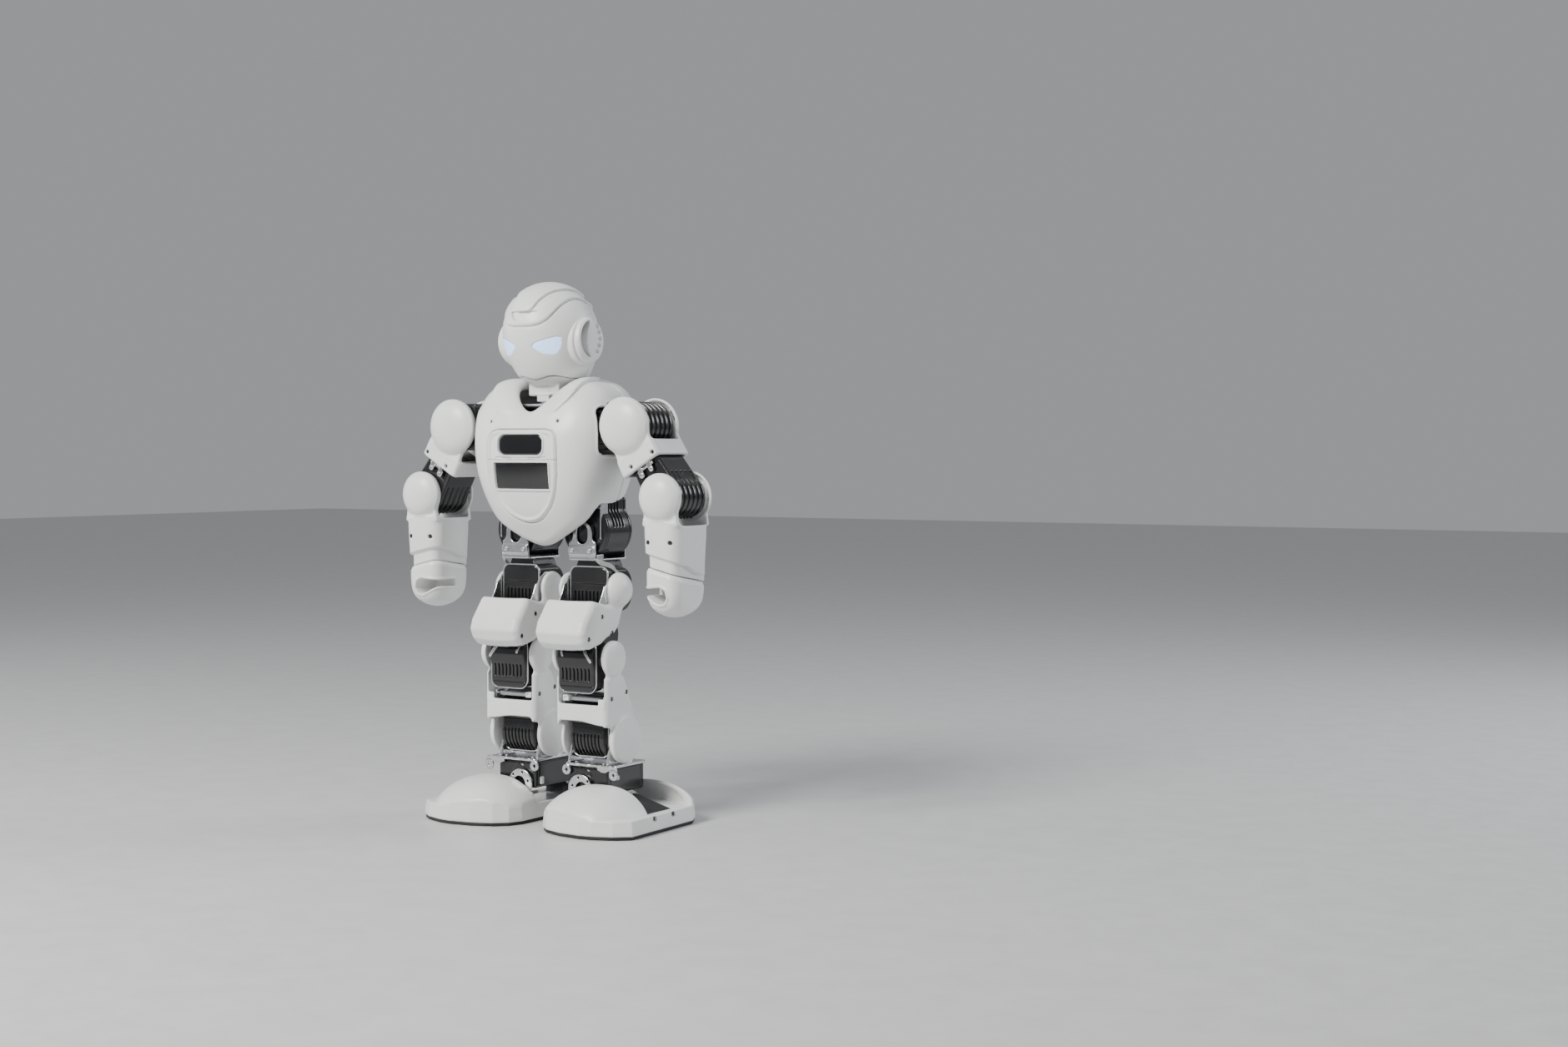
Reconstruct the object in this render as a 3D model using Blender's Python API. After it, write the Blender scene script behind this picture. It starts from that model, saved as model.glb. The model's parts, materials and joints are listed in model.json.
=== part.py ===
"""A small walking humanoid robot: a shelled torso and head on sixteen servo joints.

It faces -Y, its left side is +X and it stands on Z = 0. Every size below is in millimetres and is
turned into metres when a mesh is made. A left-hand piece is built first, and its right-hand twin
is its mirror image in the plane X = 0.
"""

import math

import bmesh
import bpy
from mathutils import Matrix, Vector

MILLIMETRE = 0.001
GAP = 0.3  # between a piece and the one that it rests on
WALL = 2.5  # thickness of the moulded covers

# joint centres of the left side, as (x, y, z)
SHOULDER = (76.7, -10.0, 284.0)
ELBOW = (106.9, -10.0, 234.8)
HIP_ROLL = (30.0, 4.0, 210.0)
HIP_PITCH = (30.0, 0.0, 168.0)
KNEE = (30.0, -10.0, 120.6)
ANKLE_PITCH = (30.0, 4.0, 62.3)
ANKLE_ROLL = (30.0, 12.0, 35.0)
BUTTON = (0.0, 34.0, 292.0)

# torso: each level is (z, half width, front y, back y)
TORSO_LEVELS = (
    (199.5, 5.0, -22.5, -17.6),
    (203.0, 13.0, -25.0, -17.0),
    (208.0, 21.0, -28.8, -16.8),
    (213.5, 30.0, -33.0, -16.0),
    (219.0, 37.5, -36.7, -4.0),
    (224.0, 43.5, -39.3, 20.0),
    (231.0, 47.5, -42.0, 28.0),
    (242.0, 52.0, -44.9, 31.5),
    (259.0, 56.2, -46.7, 33.5),
    (274.0, 57.3, -46.9, 34.5),
    (288.0, 56.2, -45.0, 34.5),
    (300.0, 52.0, -42.0, 33.0),
    (309.0, 43.0, -37.0, 30.0),
    (315.0, 33.0, -30.0, 25.0),
    (318.5, 18.0, -22.0, 17.0),
)
TORSO_SPLIT_Y = 4.0
TORSO_WALL = 3.0
TORSO_POWER = 2.7  # how square its plan is: 2 is an ellipse
SHIELD_HALF = 31.0
SHIELD_TOP = 282.0
SHIELD_FOOT = 215.5

# head
HEAD = Vector((0.0, -11.0, 351.0))
HEAD_RADIUS = 34.0
HEAD_WALL = 2.6
HEAD_SPLIT_Y = -3.0
CREST_RISE = 1.7
EAR_RADIUS = 17.0
EAR_X = 29.3
EAR_Y = -10.5
EAR_Z = 344.8

# legs
THIGH_X = (8.5, 51.5)
SHANK_X = (9.5, 54.8)
SERVO_X = (14.6, 46.6)
FOOT_X = (11.5, 92.0)
FOOT_Y = (-57.0, 57.0)
FOOT_TOP = 13.0
SOLE = 2.0

WHITE = ((0.78, 0.79, 0.80, 1.0), 0.38, 0.0)
BLACK = ((0.012, 0.012, 0.014, 1.0), 0.22, 0.0)
STEEL = ((0.62, 0.62, 0.64, 1.0), 0.20, 1.0)
SMOKE = ((0.004, 0.004, 0.005, 1.0), 0.06, 0.0)
EYE = ((0.45, 0.66, 1.0, 1.0), 0.15, 0.0)
RUBBER = ((0.02, 0.02, 0.02, 1.0), 0.75, 0.0)
GREEN = ((0.02, 0.12, 0.05, 1.0), 0.45, 0.0)
BLUE_WRAP = ((0.03, 0.08, 0.22, 1.0), 0.35, 0.0)
ALLOY = ((0.45, 0.46, 0.48, 1.0), 0.35, 1.0)


# --- outlines -------------------------------------------------------------------------------


def arc(centre, radius, start, end, steps):
    """Points on a circle from one angle to another, in degrees, both ends included."""
    angles = [math.radians(start + (end - start) * i / steps) for i in range(steps + 1)]
    return [(centre[0] + radius * math.cos(a), centre[1] + radius * math.sin(a)) for a in angles]


def circle(centre, radius, steps=24):
    return arc(centre, radius, 0.0, 360.0, steps)[:-1]


def rounded_box(low, high, radius, steps=3):
    """A rectangle from low to high with round corners."""
    (x0, y0), (x1, y1) = low, high
    r = radius
    return (
        arc((x1 - r, y1 - r), r, 0, 90, steps)
        + arc((x0 + r, y1 - r), r, 90, 180, steps)
        + arc((x0 + r, y0 + r), r, 180, 270, steps)
        + arc((x1 - r, y0 + r), r, 270, 360, steps)
    )


def hull(points):
    """The convex outline round some points."""
    points = sorted(set(points))

    def chain(run):
        kept = []
        for p in run:
            while len(kept) > 1:
                (ax, ay), (bx, by) = kept[-2], kept[-1]
                if (bx - ax) * (p[1] - ay) - (by - ay) * (p[0] - ax) > 1e-6:
                    break
                kept.pop()
            kept.append(p)
        return kept[:-1]

    return chain(points) + chain(points[::-1])


def mirrored_outline(half):
    """A closed outline from its right half, which runs from the top of the middle line down."""
    return half + [(-x, y) for x, y in reversed(half) if abs(x) > 1e-6]


# --- solids ---------------------------------------------------------------------------------


def mesh_object(bm, name="piece"):
    bmesh.ops.recalc_face_normals(bm, faces=bm.faces)
    bmesh.ops.scale(bm, vec=(MILLIMETRE,) * 3, verts=bm.verts)
    mesh = bpy.data.meshes.new(name)
    bm.to_mesh(mesh)
    bm.free()
    obj = bpy.data.objects.new(name, mesh)
    bpy.context.collection.objects.link(obj)
    return obj


def prism(outline, axis, low, high):
    """An outline pushed along one axis. Its points are (y, z), (x, z) or (x, y) for X, Y or Z."""
    place = {
        "X": lambda a, b: (low, a, b),
        "Y": lambda a, b: (a, low, b),
        "Z": lambda a, b: (a, b, low),
    }[axis]
    along = {"X": (1, 0, 0), "Y": (0, 1, 0), "Z": (0, 0, 1)}[axis]
    bm = bmesh.new()
    face = bm.faces.new([bm.verts.new(place(a, b)) for a, b in outline])
    moved = bmesh.ops.extrude_face_region(bm, geom=[face])["geom"]
    top = [v for v in moved if isinstance(v, bmesh.types.BMVert)]
    bmesh.ops.translate(bm, vec=Vector(along) * (high - low), verts=top)
    return mesh_object(bm)


def box(low, high):
    return prism([(low[0], low[1]), (high[0], low[1]), (high[0], high[1]), (low[0], high[1])],
                 "Z", low[2], high[2])


def soft_box(low, high, radius, axis="X"):
    """A box whose edges along one axis are round."""
    a, b, c = {"X": (1, 2, 0), "Y": (0, 2, 1), "Z": (0, 1, 2)}[axis]
    outline = rounded_box((low[a], low[b]), (high[a], high[b]), radius)
    return prism(outline, axis, low[c], high[c])


def loft(rings):
    """A closed body through rings of points that all have the same count."""
    bm = bmesh.new()
    loops = []
    for ring in rings:
        verts = [bm.verts.new(p) for p in ring]
        loops.append([bm.edges.new((verts[i - 1], verts[i])) for i in range(len(verts))])
    for below, above in zip(loops, loops[1:]):
        bmesh.ops.bridge_loops(bm, edges=below + above)
    for ends in (loops[0], loops[-1]):
        bmesh.ops.edgeloop_fill(bm, edges=ends)
    return mesh_object(bm)


def turned(profile, centre, axis, steps=20):
    """A profile of (radius, height) points, whose ends lie on the axis, spun round that axis."""
    bm = bmesh.new()
    verts = [bm.verts.new((r, 0, h)) for r, h in profile]
    edges = [bm.edges.new(pair) for pair in zip(verts, verts[1:])]
    bmesh.ops.spin(bm, geom=verts + edges, cent=(0, 0, 0), axis=(0, 0, 1), angle=math.tau,
                   steps=steps, use_merge=True)
    bmesh.ops.remove_doubles(bm, verts=bm.verts, dist=0.001)
    turn = {"X": Matrix.Rotation(math.pi / 2, 4, "Y"), "Y": Matrix.Rotation(-math.pi / 2, 4, "X"),
            "Z": Matrix.Identity(4)}[axis]
    bmesh.ops.transform(bm, matrix=Matrix.Translation(centre) @ turn, verts=bm.verts)
    return mesh_object(bm)


def cylinder(centre, axis, radius, low, high, steps=16):
    """A rod along one axis, from low to high on that axis."""
    middle = Vector(centre)
    middle["XYZ".index(axis)] = 0.0
    return turned([(0, low), (radius, low), (radius, high), (0, high)], middle, axis, steps)


def dome(centre, axis, radius, base, rise, rim, steps=20):
    """A cap whose flat side is at base and whose top is at base + rise, with a short straight rim."""
    bulge = rise - rim
    arch = [(radius * math.cos(math.radians(a)), base + rim + bulge * math.sin(math.radians(a)))
            for a in (0, 25, 50, 72)]
    middle = Vector(centre)
    middle["XYZ".index(axis)] = 0.0
    return turned([(0, base), (radius, base)] + arch + [(0, base + rise)], middle, axis, steps)


def ellipsoid(centre, radii, segments=24, rows=12):
    bm = bmesh.new()
    bmesh.ops.create_uvsphere(bm, u_segments=segments, v_segments=rows, radius=1.0)
    bmesh.ops.scale(bm, vec=radii, verts=bm.verts)
    bmesh.ops.translate(bm, vec=centre, verts=bm.verts)
    return mesh_object(bm)


def combine(target, others, operation):
    """Boolean each of the others into the target, which keeps the result as its own mesh."""
    for other in others:
        cut = target.modifiers.new("combine", "BOOLEAN")
        cut.operation = operation
        cut.solver = "EXACT"
        cut.object = other
        bpy.context.view_layer.update()
        evaluated = target.evaluated_get(bpy.context.evaluated_depsgraph_get())
        result = bpy.data.meshes.new_from_object(evaluated)
        target.modifiers.clear()
        target.data = result
        bpy.data.objects.remove(other)
    return target


def joined(target, *others):
    return combine(target, others, "UNION")


def cut(target, *others):
    return combine(target, others, "DIFFERENCE")


def common(target, *others):
    return combine(target, others, "INTERSECT")


def material(name, look):
    colour, roughness, metallic = look
    made = bpy.data.materials.new(name)
    made.use_nodes = True
    shader = made.node_tree.nodes["Principled BSDF"]
    shader.inputs["Base Color"].default_value = colour
    shader.inputs["Roughness"].default_value = roughness
    shader.inputs["Metallic"].default_value = metallic
    return made


def clean(obj):
    """Merge the slivers that a Boolean leaves, and shade the round faces smooth."""
    bm = bmesh.new()
    bm.from_mesh(obj.data)
    bmesh.ops.remove_doubles(bm, verts=bm.verts, dist=0.02 * MILLIMETRE)
    bmesh.ops.dissolve_limit(bm, angle_limit=math.radians(1.0), verts=bm.verts, edges=bm.edges)
    bmesh.ops.triangulate(bm, faces=bm.faces)
    bm.to_mesh(obj.data)
    bm.free()
    obj.data.shade_smooth()
    obj.data.set_sharp_from_angle(angle=math.radians(35.0))


def place(obj, name, joint, look):
    """Name a piece, give it its own material and hang it on the empty of its joint."""
    clean(obj)
    obj.name = name
    obj.data.name = name
    obj.data.materials.clear()
    obj.data.materials.append(material(name, look))
    if joint:
        obj.parent = joint
        bpy.context.view_layer.update()
        obj.matrix_parent_inverse = joint.matrix_world.inverted()
    return obj


def place_pair(obj, name, joints, look):
    """Place a left-hand piece and its mirror image. The joints are the (left, right) empties."""
    twin_mesh = obj.data.copy()
    twin_mesh.transform(Matrix.Scale(-1.0, 4, (1, 0, 0)))
    twin_mesh.flip_normals()
    twin = bpy.data.objects.new(name + "_right", twin_mesh)
    bpy.context.collection.objects.link(twin)
    place(obj, name + "_left", joints[0], look)
    place(twin, name + "_right", joints[1], look)


def joint_empty(name, centre, parent=None):
    empty = bpy.data.objects.new(name, None)
    empty.empty_display_size = 0.01
    bpy.context.collection.objects.link(empty)
    empty.location = Vector(centre) * MILLIMETRE
    if parent:
        empty.parent = parent
        bpy.context.view_layer.update()
        empty.matrix_parent_inverse = parent.matrix_world.inverted()
    bpy.context.view_layer.update()
    return empty


def joint_pair(name, centre, parents=(None, None)):
    x, y, z = centre
    return (joint_empty(name + "_left_axis", (x, y, z), parents[0]),
            joint_empty(name + "_right_axis", (-x, y, z), parents[1]))


# --- torso ----------------------------------------------------------------------------------


def torso_ring(z, half, front, back, steps=24):
    """A level of the torso: a squared ellipse."""
    middle, depth = (front + back) / 2, (back - front) / 2
    ring = []
    for i in range(steps):
        angle = math.tau * i / steps
        c, s = math.cos(angle), math.sin(angle)
        reach = (abs(c) ** TORSO_POWER + abs(s) ** TORSO_POWER) ** (-1 / TORSO_POWER)
        ring.append((half * reach * c, middle + depth * reach * s, z))
    return ring


def torso_skin():
    """The torso's wall all round, with its neck, shoulder and leg openings."""
    skin = loft([torso_ring(*level) for level in TORSO_LEVELS])
    inner = [
        (z, half - TORSO_WALL, front + TORSO_WALL, back - TORSO_WALL)
        for z, half, front, back in TORSO_LEVELS[2:-1]
    ]
    top = inner[-1]
    inner[-1] = (top[0] - 0.5, top[1], top[2], top[3])
    cut(skin, loft([torso_ring(*level) for level in inner]))
    # the collar is a trough that climbs from the front of the neck to its back
    trough = cylinder((0, 0, 0), "Y", 27.0, -90, 90, 28)
    trough.matrix_world = (Matrix.Translation(Vector((0, -34, 322.3)) * MILLIMETRE)
                           @ Matrix.Rotation(math.radians(23.0), 4, "X"))
    cut(skin, trough, cylinder((0, -11, 0), "Z", 23.0, 290, 330))
    for side in (1, -1):
        low, high = sorted((side * 40, side * 70))
        opening = rounded_box((-33, 264), (13, 297), 5)
        cut(skin, prism(opening, "X", low, high))
    leg_space = rounded_box((-46.0, -17.5), (46.0, 25.0), 6)
    cut(skin, prism(leg_space, "Z", 180, 236))
    return skin


def shield_outline(inset):
    """The chest shield, which has a flat top and a round foot."""
    w = SHIELD_HALF - inset
    top = SHIELD_TOP - inset
    half = [(0, top)] + arc((w - 8, top - 8), 8, 90, 0, 3)
    half += [(w, 255), (w - 2.2, 241), (w - 4.5, 234), (w - 8.6, 227.5 + 0.3 * inset)]
    half += [(w - 14.1, 222 + 0.5 * inset), (w - 21.5, SHIELD_FOOT + 1.8 + inset)]
    half += [(0, SHIELD_FOOT + inset)]
    return mirrored_outline(half)


def make_torso():
    skin = torso_skin()

    def skin_copy():
        twin = bpy.data.objects.new("skin", skin.data.copy())
        bpy.context.collection.objects.link(twin)
        return twin

    far = 120.0
    front, back = TORSO_SPLIT_Y - GAP / 2, TORSO_SPLIT_Y + GAP / 2
    chest = common(skin_copy(), box((-far, -far, 0), (far, front, 400)))
    cut(chest, prism(shield_outline(0), "Y", -far, -30))
    place(chest, "chest_shell", None, WHITE)

    panel = common(skin_copy(), prism(shield_outline(GAP), "Y", -far, -30))
    seam = 260.6
    upper_window = rounded_box((-19.4, 263.9), (19.4, 278), 5)
    lower_window = [(-23.1, 257.6), (23.1, 257.6), (22.8, 240.6), (-22.8, 240.6)]
    for name, low, high, outline in (
        ("chest_panel_upper", seam, 400, upper_window),
        ("battery_door", 0, seam - GAP, lower_window),
    ):
        twin = bpy.data.objects.new("panel", panel.data.copy())
        bpy.context.collection.objects.link(twin)
        common(twin, box((-far, -far, low), (far, 0, high)))
        cut(twin, prism(outline, "Y", -far, -30))
        place(twin, name, None, WHITE)
    bpy.data.objects.remove(panel)
    for name, outline, middle in (
        ("sensor_window", upper_window, 271.0),
        ("display_window", lower_window, 249.0),
    ):
        inset = [(x * (1 - GAP / 20), middle + (z - middle) * (1 - GAP / 6)) for x, z in outline]
        place(common(skin_copy(), prism(inset, "Y", -far, -30)), name, None, SMOKE)

    rear = common(skin_copy(), box((-far, back, 0), (far, far, 400)))
    cut(rear, cylinder(BUTTON, "Y", 5.0, 10, 60))
    cut(rear, cylinder((16, 0, 240), "Y", 4.4, 10, 60))
    place(rear, "back_shell", None, WHITE)
    bpy.data.objects.remove(skin)

    frame = box((-38, -14, 234), (38, 16, 236.5))
    joined(frame, box((-13, 1, 235), (13, 4, 301)),
           box((-42, -24, 297.5), (42, 4, 300)),
           cylinder((0, -11, 0), "Z", 7.5, 299, 303))
    place(frame, "main_frame", None, ALLOY)
    place(soft_box((-20, -36.5, 231), (20, -24, 256), 3), "battery_pack", None, BLUE_WRAP)
    place(box((-16, -21, 240), (16, -19.4, 294)), "control_board", None, GREEN)
    place(cylinder((0, 0, 266), "Y", 13.0, 12, 26), "speaker", None, BLACK)
    jack = cylinder((16, 0, 240), "Y", 4.0, 22, 33.5)
    cut(jack, cylinder((16, 0, 240), "Y", 2.75, 26, 60, 16))
    place(jack, "charge_jack", None, BLACK)
    axis = joint_empty("button_axis", BUTTON)
    place(dome(BUTTON, "Y", 4.5, 28.5, 7.0, 5.6), "power_button", axis, BLACK)


# --- head -----------------------------------------------------------------------------------


def head_skin(outer, wall):
    skin = ellipsoid(HEAD, (outer, outer, outer))
    return cut(skin, ellipsoid(HEAD, (outer - wall,) * 3))


def make_head():
    far = 120.0
    eye_outline = [(7.6, 340.2), (17.0, 343.6), (27.4, 345.3), (27.4, 340.0), (25.8, 335.2),
                   (21.0, 333.8), (14.0, 336.0)]
    eye_middle = (20.0, 339.5)
    lens_outline = [(eye_middle[0] + (x - eye_middle[0]) * 0.96,
                     eye_middle[1] + (z - eye_middle[1]) * 0.94) for x, z in eye_outline]
    lens_left = head_skin(HEAD_RADIUS, HEAD_WALL)
    common(lens_left, prism(lens_outline, "Y", -far, HEAD.y))
    place_pair(lens_left, "eye_lens", (None, None), EYE)

    ear_pocket = [cylinder((0, EAR_Y, EAR_Z), "X", EAR_RADIUS + GAP, side * 60, side * 29.0)
                  for side in (1, -1)]
    skin = cut(head_skin(HEAD_RADIUS, HEAD_WALL), *ear_pocket)
    face = bpy.data.objects.new("face", skin.data.copy())
    bpy.context.collection.objects.link(face)
    common(face, box((-far, -far, 0), (far, HEAD_SPLIT_Y - GAP / 2, 400)))
    for side in (1, -1):
        cut(face, prism([(side * x, z) for x, z in eye_outline], "Y", -far, HEAD.y))
    place(face, "head_face_shell", None, WHITE)
    common(skin, box((-far, HEAD_SPLIT_Y + GAP / 2, 0), (far, far, 400)))
    place(skin, "head_rear_shell", None, WHITE)

    crest = head_skin(HEAD_RADIUS + CREST_RISE + 0.1, CREST_RISE - GAP)
    plan = mirrored_outline([(0, 23), (15, 18), (24, 4), (25, -14), (20, -35), (10, -43), (0, -50)])
    common(crest, prism(plan, "Z", 353.5, 400))
    brow = mirrored_outline([(0, 364.5), (9.5, 364.0), (6.5, 357.5), (0, 357.0)])
    cut(crest, prism(brow, "Y", -far, HEAD.y))
    place(crest, "head_crest", None, WHITE)

    ear = turned([(0, EAR_X), (EAR_RADIUS, EAR_X), (EAR_RADIUS, 33.5), (EAR_RADIUS - 1.5, 35.2),
                  (0, 36.6)], (0, EAR_Y, EAR_Z), "X")
    place_pair(ear, "ear_disc", (None, None), WHITE)
    place(box((-14, -33, 336), (14, -31.4, 348)), "eye_board", None, GREEN)

    neck = loft([torso_ring(z, half, front, back, 20) for z, half, front, back in (
        (303.5, 13.0, -27.0, 2.0), (309.0, 16.0, -31.0, 5.0), (320.5, 21.5, -37.0, 9.0),
        (324.5, 23.5, -39.0, 12.0))])
    cut(neck, ellipsoid(HEAD, (HEAD_RADIUS + GAP,) * 3))
    place(neck, "neck_shell", None, WHITE)


# --- arms -----------------------------------------------------------------------------------

UPPER_ARM = Vector((ELBOW[0] - SHOULDER[0], ELBOW[2] - SHOULDER[2]))
ARM_ALONG = UPPER_ARM.normalized()
ARM_OUT = Vector((-ARM_ALONG[1], ARM_ALONG[0]))
ARM_FRONT = -31.0
ARM_BACK = 15.0


def arm_point(along, out):
    """A point (x, z) of the upper arm, from its distances along and outward from the shoulder."""
    p = Vector((SHOULDER[0], SHOULDER[2])) + ARM_ALONG * along + ARM_OUT * out
    return (p[0], p[1])


def arm_slab(along, out, y):
    corners = [(along[0], out[0]), (along[1], out[0]), (along[1], out[1]), (along[0], out[1])]
    return prism([arm_point(*c) for c in corners], "Y", *y)


def make_arms():
    pitch = joint_pair("shoulder_pitch", SHOULDER)
    roll = joint_pair("shoulder_roll", SHOULDER, pitch)
    elbow = joint_pair("elbow", ELBOW, roll)
    shoulder_xz, elbow_xz = (SHOULDER[0], SHOULDER[2]), (ELBOW[0], ELBOW[2])

    servo = soft_box((17, -24, 267), (44, 6, 297), 5)
    place_pair(servo, "shoulder_pitch_servo", (None, None), BLACK)
    bracket = soft_box((54.8, -22, 270), (57.4, 3, 298), 4)
    joined(bracket, cylinder((0, SHOULDER[1], SHOULDER[2]), "X", 9.0, 44 + GAP, 55.5))
    place_pair(bracket, "shoulder_bracket", pitch, STEEL)

    body = hull(circle(shoulder_xz, 17.0) + [(58, 268), (58, 300)])
    place_pair(prism(body, "Y", -24, 8), "shoulder_roll_servo", pitch, BLACK)

    # the cover is a sleeve, with a cap in front of the servo and one behind it
    in_edge, out_edge = -20.0, 14.5
    top, foot = 19.0, 31.0
    cheek = hull(circle(shoulder_xz, 17.2, 18) + [arm_point(foot - 1, in_edge + 1),
                                                  arm_point(foot - 1, out_edge - 1)])
    cover = dome((SHOULDER[0], 0, SHOULDER[2]), "Y", 19.6, 24.6, 6.4, 2.0)
    cover.data.transform(Matrix.Scale(-1.0, 4, (0, 1, 0)))
    cover.data.flip_normals()
    joined(cover, prism(cheek, "Y", -28.5, -24.8), prism(cheek, "Y", 8.9, 11.0),
           arm_slab((top, foot), (in_edge, out_edge), (-28, 12)),
           dome((SHOULDER[0], 0, SHOULDER[2]), "Y", 19.6, 8.6, 6.4, 2.0))
    cut(cover, arm_slab((top - 8, foot + 5), (in_edge + WALL, out_edge - WALL), (-25.5, 9.2)))
    place_pair(cover, "upper_arm_cover", roll, WHITE)

    neck = [arm_point(22, -12.5), arm_point(22, 10.0)]
    servo = prism(hull(circle(elbow_xz, 14.6) + neck), "Y", -24, 7)
    place_pair(servo, "elbow_servo", roll, BLACK)

    x0, x1 = ELBOW[0] - 15.7, ELBOW[0] + 15.7
    cuff_top, cuff_foot = 217.0, 185.0
    cheek = hull(circle(elbow_xz, 13.4, 18) + [(x0 + 0.6, cuff_top), (x1 - 0.6, cuff_top)])
    shell = dome((ELBOW[0], 0, ELBOW[2]), "Y", 16.3, 24.6, 6.4, 2.0)
    shell.data.transform(Matrix.Scale(-1.0, 4, (0, 1, 0)))
    shell.data.flip_normals()
    cuff = rounded_box((x0, -30.5), (x1, 12.0), 8)
    hollow = rounded_box((x0 + WALL, -24.4), (x1 - WALL, 7.4), 5)
    joined(shell, prism(cheek, "Y", -28.5, -24.8), prism(cheek, "Y", 7.9, 11.0),
           prism(cuff, "Z", cuff_foot, cuff_top + 1.0),
           dome((ELBOW[0], 0, ELBOW[2]), "Y", 18.0, 7.6, 6.0, 2.0))
    cut(shell, prism(hollow, "Z", 196.0, 226.0))
    place_pair(shell, "forearm_shell", elbow, WHITE)

    levels = ((152.0, 7.5, 10.0), (154.5, 11.5, 15.5), (161.0, 14.2, 18.5), (175.0, 14.8, 19.6),
              (cuff_foot - GAP, 14.6, 20.0))
    hand = loft([[(ELBOW[0] + x, y, z) for x, y, z in
                  torso_ring(z, half, -9.5 - deep, -9.5 + deep, 20)] for z, half, deep in levels])
    cut(hand, prism(rounded_box((80, 161), (112, 173), 4), "Y", -60, -7))
    place_pair(hand, "hand", elbow, WHITE)


# --- legs -----------------------------------------------------------------------------------


def make_hips_and_thighs(roll, pitch):
    x, _, z = HIP_ROLL
    top = 233.7
    body = [(x + 14, top), (x - 14, top)] + arc((x, z), 19.5, 224, 316, 8)
    place_pair(prism(body, "Y", -11, 20), "hip_roll_servo", (None, None), BLACK)

    low = 186.5
    arch = [(x - 14, low), (x + 14, low)] + arc((x, z), 14.0, 0, 180, 10)
    bracket = prism(arch, "Y", -14.5, -12.3)
    joined(bracket, prism(arch, "Y", 21.2, 23.4), box((x - 14, -14.5, low), (x + 14, 23.4, 188.7)))
    cut(bracket, cylinder((x, 0, z), "Y", 5.0, -20, -8, 16))
    place_pair(bracket, "hip_bracket", roll, STEEL)

    foot, head, face = 151.5, 184.4, -8.0
    case = ([(face, head), (face, foot)] + arc((10, foot + 14), 14, -90, 0, 6)
            + arc((10, head - 14), 14, 0, 90, 6))
    servo = prism(case, "X", *SERVO_X)
    joined(servo, box((x - 11, -7, head - 1), (x + 11, 19, low - GAP)))
    place_pair(servo, "hip_pitch_servo", roll, BLACK)

    hip, knee = (HIP_PITCH[1], HIP_PITCH[2]), (KNEE[1], KNEE[2])
    outline = (
        [(-29, 162.5), (-38.5, 146), (-40, 139), (-38, 133.5), (-32, 130.2), (-19, 131.5)]
        + [(-12, 134.6), (-3, 136.5), (3.5, 142), (8, 155)]
        + arc(hip, 12.5, -35, 150, 10)
        + [(-17, 160)]
    )
    cover = prism(outline, "X", *THIGH_X)
    hollow = [(-26.5, 175), (-26.8, 161), (-35.8, 145), (-37, 139), (-35, 136), (-30, 120),
              (40, 120), (40, 200), (-26.5, 200)]
    cut(cover, prism(hollow, "X", THIGH_X[0] + WALL, THIGH_X[1] - WALL))
    joined(cover, dome(HIP_PITCH, "X", 12.3, THIGH_X[1] - 1.0, 4.5, 1.2))
    place_pair(cover, "thigh_cover", pitch, WHITE)
    servo = prism(hull(circle(knee, 15.0) + circle((-7.0, 136.0), 13.0)), "X", *SERVO_X)
    joined(servo, soft_box((SERVO_X[0], -22.4, 96.6), (SERVO_X[1], -10.4, 124), 7, "Y"))
    place_pair(servo, "knee_servo", pitch, BLACK)


def make_shanks(knee_joint):
    knee, ankle = (KNEE[1], KNEE[2]), (ANKLE_PITCH[1], ANKLE_PITCH[2])
    front, back = -19.5, -19.5 + WALL
    outline = (
        arc(knee, 12.5, 0, 180, 10)
        + [(front, 108), (front, 75)]
        + arc(ankle, 17.5, 190, 380, 14)
        + [(18.5, 74), (14, 84), (8.2, 97), (3.6, 107)]
    )
    cover = prism(outline, "X", *SHANK_X)
    inside = (SHANK_X[0] + WALL, SHANK_X[1] - WALL)
    # what is left between the walls is a band in front and a narrower one behind
    openings = (
        [(-60, 87.4), (back, 87.4), (back, 160), (-60, 160)],
        [(-60, 20), (60, 20), (60, 75.6), (-60, 75.6)],
        [(back - 1, 104.2), (60, 104.2), (60, 160), (back - 1, 160)],
        [(back, 50), (60, 50), (60, 96.6), (back, 96.6)],
        [(back, 90), (6.0, 90), (5.6, 96.6), (2.2, 104.2), (2.2, 150), (back, 150)],
    )
    cut(cover, *[prism(opening, "X", *inside) for opening in openings])
    joined(cover, dome(KNEE, "X", 12.3, SHANK_X[1] - 1.0, 2.6, 1.1),
           dome(ANKLE_PITCH, "X", 17.3, SHANK_X[1] - 1.0, 2.6, 1.1))
    place_pair(cover, "shank_cover", knee_joint, WHITE)
    servo = prism(hull(circle(ankle, 15.8) + circle((1.5, 84.0), 12.5)), "X", 16.6, 46.4)
    place_pair(servo, "ankle_pitch_servo", knee_joint, BLACK)


def foot_outline(inset):
    """The foot's plan. It reaches further out than in from the ankle."""
    x0, x1 = FOOT_X[0] + inset, FOOT_X[1] - inset
    y0, y1 = FOOT_Y[0] + inset, FOOT_Y[1] - inset
    return (
        [(x1, y0 + 15), (x1 - 1.5, y1 - 20), (x1 - 8, y1 - 8), (x1 - 22, y1 - 1.2)]
        + [(x1 - 34, y1), (x0 + 26, y1), (x0 + 8, y1 - 5), (x0, y1 - 17)]
        + [(x0, y0 + 25), (x0 + 3.5, y0 + 15)]
        + [(x0 + 12, y0 + 7.5), (x0 + 27, y0 + 2), (x0 + 45, y0), (x1 - 20, y0 + 0.8)]
        + [(x1 - 6, y0 + 7)]
    )


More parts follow.
